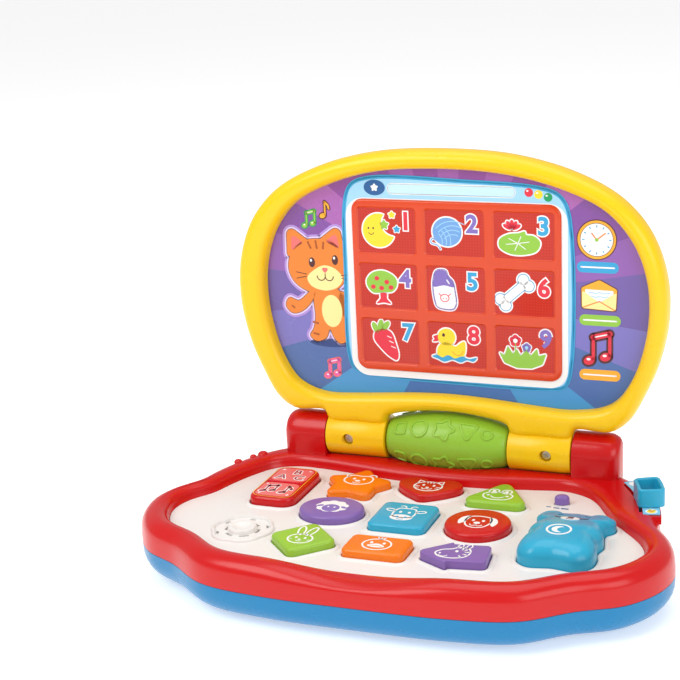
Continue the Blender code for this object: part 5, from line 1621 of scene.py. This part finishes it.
def makeBadge():
    top = lid["outer"] + 1.1
    a, b, mid = lid["badgeA"], lid["badgeB"], (0, -lid["badgeV"])
    plate = stepped([(ovalPoints(*mid, a, b, 72), lid["outer"] + gap), (ovalPoints(*mid, a, b, 72),
        top - 0.3), (ovalPoints(*mid, a - 0.3, b - 0.3, 72), top)])
    makePiece("badgePlate", plate, lidFrame, [ginghamFinish()], "lid", 30,
        ["lid_badge"])
    sheet = newSheet(0.06)
    printLine(sheet, ovalPoints(*mid, a - 1.6, b - 1.6, 72), "yellow", 2.6, 1, closed=True)
    printLine(sheet, ovalPoints(*mid, a - 4.2, b - 4.2, 72), "pale", 2.4, 1, closed=True)
    looks = ["red", "green", "violet", "amber", "sky"]
    for k in range(10):
        t = 2 * math.pi * k / 10 + 0.3
        x, y = mid[0] + (a - 11.5) * math.cos(t), mid[1] + (b - 10.2) * math.sin(t)
        shape = [ovalPoints(x, y, 2.9, 2.9, 24), rounded(rectangle(5.2, 5.2, (x, y)), 1.1, 4),
            starPoints(x, y, 3.5, 1.8), rounded([(x - 3.1, y - 2.3), (x + 3.1, y - 2.3),
            (x, y + 3.2)], 0.9, 4)][k % 4]
        printLine(sheet, shape, "white", 0.9, 1, closed=True)
        printShape(sheet, shape, looks[k % 5], 2)
    star = starPoints(*mid, 10.4, 5.4, 5, math.pi)
    printLine(sheet, star, "white", 1.6, 1, closed=True)
    printShape(sheet, star, "amber", 2)
    printShape(sheet, shrunkTo(star, 0.55), "yellow", 3)
    moved(sheet["bm"], 0, 0, top - 0.02)
    layDown("badgePictures", sheet, lidFrame, "lid")


def ginghamFinish():
    mat, tree, shader = nodesOf("palePattern")
    where = mould(tree, shader, 0.4)[0]
    checks = addNode(tree, "ShaderNodeTexChecker", {"Vector": where, "Scale": 320.0,
        "Color1": (0.78, 0.88, 0.95, 1), "Color2": (0.88, 0.92, 0.95, 1)})
    dress(tree, shader, base=checks.outputs["Color"])
    return mat


def makeBarrelScrews():
    for side, name in ((-1, "left"), (1, "right")):
        head = [(1.3, -10.6)] + [(1.3 + 1.8 * math.sin(math.pi / 2 * k / 5),
            -10.0 - 0.6 * math.cos(math.pi / 2 * k / 5)) for k in range(1, 6)]
        screw = turned(head + [(3.1, -8.9), (1.45, -8.9), (1.45, 7.5), (0.5, 8.6)], 32)
        jobs = []
        for w, h in ((3.4, 0.75), (0.75, 3.4)):
            jobs.append((prism(rectangle(w, h), -12, -9.7), "DIFFERENCE"))
        screw = carve(screw, jobs)
        bmesh.ops.rotate(screw, matrix=Matrix.Rotation(0.3 * side + 0.2, 3, "Z"), verts=screw.verts)
        makePiece("barrelScrew" + name.title(), moved(screw, side * lid["screwX"]), lidFrame,
            [steelFinish()], "lid", 34, ["barrel_screw_" + name])


# The keys' pictures are white line drawings about each key's middle with +Y to the rear.
def drawKeyFace(sheet, name):
    w, line = "white", 0.95
    def stroke(points, width=line):
        printLine(sheet, points, w, width)
    def loop(points, width=line):
        printLine(sheet, points, w, width, closed=True)
    def dot(x, y, a, b=None, shade="white", layer=2):
        printOval(sheet, x, y, a, b, 20, shade, layer)
    if name == "key_star":
        loop(smoothClosed(wholeOutline([(0, 6.0), (5.4, 6.4), (8.4, 2.4), (7.6, -3.4), (0, -7.0)]),
            6))
        for side in (-1, 1):
            stroke(arcPoints(side * 6.6, 6.2, 2.6, 60 - 60 * side, 200 - 60 * side, 10))
            dot(side * 3.0, 1.4, 0.9, 1.2)
        dot(0, -1.4, 1.7, 1.2)
        stroke(arcPoints(0, -2.6, 2.4, 210, 330, 12), 0.7)
    elif name == "key_heart":
        loop(ovalPoints(0, 0.4, 8.4, 6.8, 40))
        for side in (-1, 1):
            stroke([(side * 7.6, 3.6), (side * 7.4, 8.6), (side * 3.4, 6.7)])
            dot(side * 3.2, 1.8, 0.8, 1.2)
            for dy in (0, -2.2):
                stroke([(side * 7.6, dy), (side * 5.2, dy - 0.2)], 0.7)
            stroke(arcPoints(side * 1.5, -2.2, 1.5, 180, 360, 10), 0.7)
            stroke([(side * 2.0, 7.0), (side * 1.7, 4.9)], 0.7)
        stroke([(0, 7.2), (0, 5.0)], 0.7)
        dot(0, -1.4, 1.1, 0.8)
    elif name == "key_triangle":
        loop(smoothClosed(wholeOutline([(0, 1.6), (4.2, 1.2), (8.6, -2.4), (6.8, -7.6), (0, -9.6)]),
            6))
        for side in (-1, 1):
            loop(ovalPoints(side * 3.8, 2.8, 2.9, 2.8, 24))
            dot(side * 3.8, 2.8, 1.1, 1.3)
            dot(side * 5.6, -3.6, 1.0, 0.8)
        stroke(arcPoints(0, -2.6, 4.2, 205, 335, 16))
    elif name == "key_oval":
        wool = []
        for k in range(96):
            t = 2 * math.pi * k / 96
            r = 1 + 0.13 * abs(math.sin(4.5 * t))
            wool.append((8.6 * r * math.cos(t), 0.8 + 7.2 * r * math.sin(t)))
        printShape(sheet, wool, w)
        printOval(sheet, 0, -1.6, 5.2, 5.0, 32, "violet", 2)
        loop(ovalPoints(0, -1.6, 4.6, 4.4, 32), 0.7)
        for side in (-1, 1):
            dot(side * 1.9, -0.4, 0.6, 0.9, layer=3)
            printShape(sheet, ovalPoints(side * 7.2, 0.4, 2.2, 1.1, 20, -side * 0.5), "violet", 2)
        stroke(arcPoints(0, -2.6, 1.4, 200, 340, 10), 0.6)
    elif name == "key_square":
        loop(smoothClosed(wholeOutline([(0, 7.8), (4.6, 7.4), (6.4, 2.0), (5.4, -3.6), (0, -5.0)]),
            6))
        printOval(sheet, 0, -4.8, 6.6, 3.9, 36, w)
        for side in (-1, 1):
            loop(ovalPoints(side * 9.0, 4.4, 2.8, 1.5, 20, side * 0.3), 0.8)
            stroke(arcPoints(side * 3.4, 9.2, 1.9, 90 + 40 * side - 90 * side,
                90 + 40 * side + 60 * side, 8), 0.8)
            dot(side * 2.6, 2.4, 0.9, 1.2)
            dot(side * 2.4, -4.4, 0.8, 1.0, "sky", 3)
        printArc(sheet, 0, -5.4, 2.2, 220, 320, 10, "sky", 0.5, 3)
    elif name == "key_circle":
        loop(smoothClosed(wholeOutline([(0, 7.4), (6.2, 5.6), (7.2, -0.6), (4.6, -6.6), (0, -8.2)]),
            6))
        for side in (-1, 1):
            printShape(sheet, smoothClosed([(side * 5.6, 6.6), (side * 9.2, 5.4),
                (side * 11.2, 0.0), (side * 9.6, -4.8), (side * 7.4, -1.6), (side * 6.4, 2.0)], 5),
                w)
            dot(side * 2.9, 1.4, 0.9, 1.2)
        dot(0, -1.8, 1.9, 1.4)
        stroke([(0, -2.4), (0, -4.4)], 0.7)
        for side in (-1, 1):
            stroke(arcPoints(side * 1.7, -4.0, 1.7, 180, 360, 10), 0.7)
    elif name == "key_diamond":
        loop(ovalPoints(0, -3.6, 7.0, 6.0, 36))
        for side in (-1, 1):
            loop(ovalPoints(side * 3.0, 6.6, 2.0, 5.6, 28, -side * 0.18))
            dot(side * 2.6, -2.6, 0.8, 1.1)
            stroke([(side * 4.2, -5.0), (side * 6.2, -4.6)], 0.5)
        dot(0, -4.9, 1.0, 0.7)
        stroke(arcPoints(0, -5.6, 1.5, 200, 340, 10), 0.6)
    elif name == "key_rectangle":
        loop(ovalPoints(0, -0.6, 8.0, 6.8, 40))
        for side in (-1, 1):
            dot(side * 3.6, 1.2, 0.9, 1.2)
        beak = smoothClosed(wholeOutline([(0, 0.4), (3.0, -0.8), (5.0, -2.8), (0, -4.6)]), 5)
        printShape(sheet, beak, w)
        printLine(sheet, [(-3.4, -2.6), (0, -2.2), (3.4, -2.6)], "orange", 0.45, 2)
        for x in (-1.6, 0, 1.6):
            stroke([(x * 0.5, 6.2), (x * 1.3, 8.4)], 0.8)
    else:
        loop(smoothClosed([(2, 7.0), (7.2, 5.0), (8.6, 0), (6.4, -5.2), (0, -7.2), (-7.4, -5.4),
            (-10.0, -1.0), (-7.0, 2.8), (-1.4, 4.4)], 6))
        for x in (2.2, 7.0):
            loop(ovalPoints(x, 8.0, 1.4, 2.4, 20, -0.2), 0.7)
        dot(1.2, 1.4, 0.9, 1.2)
        dot(-7.4, -1.6, 0.6, 0.8)
        stroke(arcPoints(-5.4, -2.8, 2.6, 200, 330, 10), 0.7)
        for a, b in (((4.2, 6.4), (3.8, 3.6)), ((6.6, 4.6), (5.2, 2.4)), ((8.2, 1.2), (6.0, 0.4)),
                ((7.4, -2.8), (5.2, -2.0)), ((4.2, -5.8), (3.2, -3.6))):
            stroke([a, b], 1.0)


def makeKeyFaces():
    for name, (_, mid) in keyOutlines().items():
        sheet = newSheet(0.06)
        drawKeyFace(sheet, name)
        if name == "key_arrow":
            sheet["bm"].transform(Matrix.Rotation(keys["arrowTurn"], 4, "Z"))
        lift = case["plateTop"] + keys["top"] - 0.02
        moved(sheet["bm"], *mid, lift)
        layDown("face_" + name[4:], sheet, caseFrame, name)


makeTub()
makeRim()
print("case done")
makePlate()
makeKeys()
makeKeyFaces()
print("keys done")
makeMouse()
makeRocker()
makeVolume()
makeSlider()
makeStrip()
volumeMarks()
print("controls done")
makeHandle()
makeRoller()
makeLidShells()
makeScreen()
print("lid done")
drawLabel()
drawScreen()
makeBadge()
makeBarrelScrews()
print("pictures done")


# Plain CAD pieces are kept as they are and only get a finish.
keptFinish = {"battery_door": plastic("blue"), "battery_door_screw": steelFinish(),
    "main_board": boardFinish(), "lid_board": boardFinish(), "key_membrane": siliconeFinish(),
    "speaker": plastic("rubber"), "hinge_pin_left": steelFinish(), "hinge_pin_right": steelFinish(),
    "roller_axle": steelFinish(), "battery_contact_left": steelFinish(),
    "battery_contact_right": steelFinish(), "light_tray": plastic("white")}
for number in range(1, 7):
    keptFinish[f"casing_screw_{number}"] = steelFinish()
for number in range(1, 5):
    keptFinish[f"foot_{number}"] = plastic("rubber")
jacket = cellJacket()
for number in (1, 2):
    keptFinish[f"battery_{number}"] = jacket
for nodeName, finishUsed in keptFinish.items():
    node = bpy.data.objects[nodeName]
    node.data.materials.clear()
    node.data.materials.append(finishUsed)
print("kept pieces done")


stage = {"floor": 6.0, "key": 10.0, "fill": 5.0, "top": 9.0, "sky": 0.52, "glow": 0.45}


def floorFinish():
    mat, tree, shader = nodesOf("paleFloor")
    where = tree.nodes.new("ShaderNodeTexCoord").outputs["Object"]
    cloud = addNode(tree, "ShaderNodeTexNoise", {"Vector": where, "Scale": 1.5, "Detail": 2.0})
    grey = mixColours(tree, cloud.outputs["Fac"], (0.88, 0.88, 0.88), (0.91, 0.91, 0.91))
    dress(tree, shader, base=grey, rough=0.8, glowColour=(1, 1, 1, 1), glow=stage["glow"])
    return mat


floorShape = bmesh.new()
bmesh.ops.create_grid(floorShape, x_segments=1, y_segments=1, size=stage["floor"])
floorMesh = meshOf(floorShape, "floor")
floorMesh.materials.append(floorFinish())
floor = putInScene("floor", floorMesh)


def softBox(name, place, aim, size, power):
    light = bpy.data.lights.new(name, "AREA")
    light.shape = "RECTANGLE"
    light.size, light.size_y = size
    light.energy = power
    holder = putInScene(name, light)
    holder.location = place
    holder.rotation_euler = (Vector(aim) - Vector(place)).to_track_quat("-Z", "Y").to_euler()
    return holder


softBox("keyLight", (-0.75, -0.85, 1.15), (0, 0, 0.08), (0.9, 0.9), stage["key"])
softBox("fillLight", (1.1, -0.7, 0.6), (0, 0, 0.1), (0.9, 0.7), stage["fill"])
softBox("topLight", (0.05, 0.15, 1.5), (0, 0, 0.1), (1.4, 1.2), stage["top"])

world = bpy.context.scene.world or bpy.data.worlds.new("studio")
bpy.context.scene.world = world
world.use_nodes = True
sky = world.node_tree.nodes["Background"]
sky.inputs["Color"].default_value = (1.0, 1.0, 1.0, 1)
sky.inputs["Strength"].default_value = stage["sky"]

view = {"turn": 20.3413, "rise": 18.8915, "distance": 0.892562, "roll": -2.452,
    "aim": (-0.001657, -0.007717, 0.097027), "lens": 84.55, "shiftX": -0.1029, "shiftY": 0.0882}


def makeCamera():
    turn, rise, roll = (math.radians(view[k]) for k in ("turn", "rise", "roll"))
    back = Vector((math.sin(turn) * math.cos(rise), -math.cos(turn) * math.cos(rise),
        math.sin(rise)))
    right = Vector((0, 0, 1)).cross(back).normalized()
    above = back.cross(right)
    tiltedRight = right * math.cos(roll) + above * math.sin(roll)
    tiltedUp = above * math.cos(roll) - right * math.sin(roll)
    lens = bpy.data.cameras.new("view")
    lens.sensor_width = 36
    lens.lens = view["lens"]
    lens.shift_x, lens.shift_y = view["shiftX"], view["shiftY"]
    camera = putInScene("view", lens)
    facing = Matrix((tiltedRight, tiltedUp, back)).transposed().to_4x4()
    camera.matrix_world = Matrix.Translation(Vector(view["aim"]) + back * view["distance"]) @ facing
    bpy.context.scene.camera = camera


makeCamera()
bpy.context.scene.view_settings.view_transform = "Standard"
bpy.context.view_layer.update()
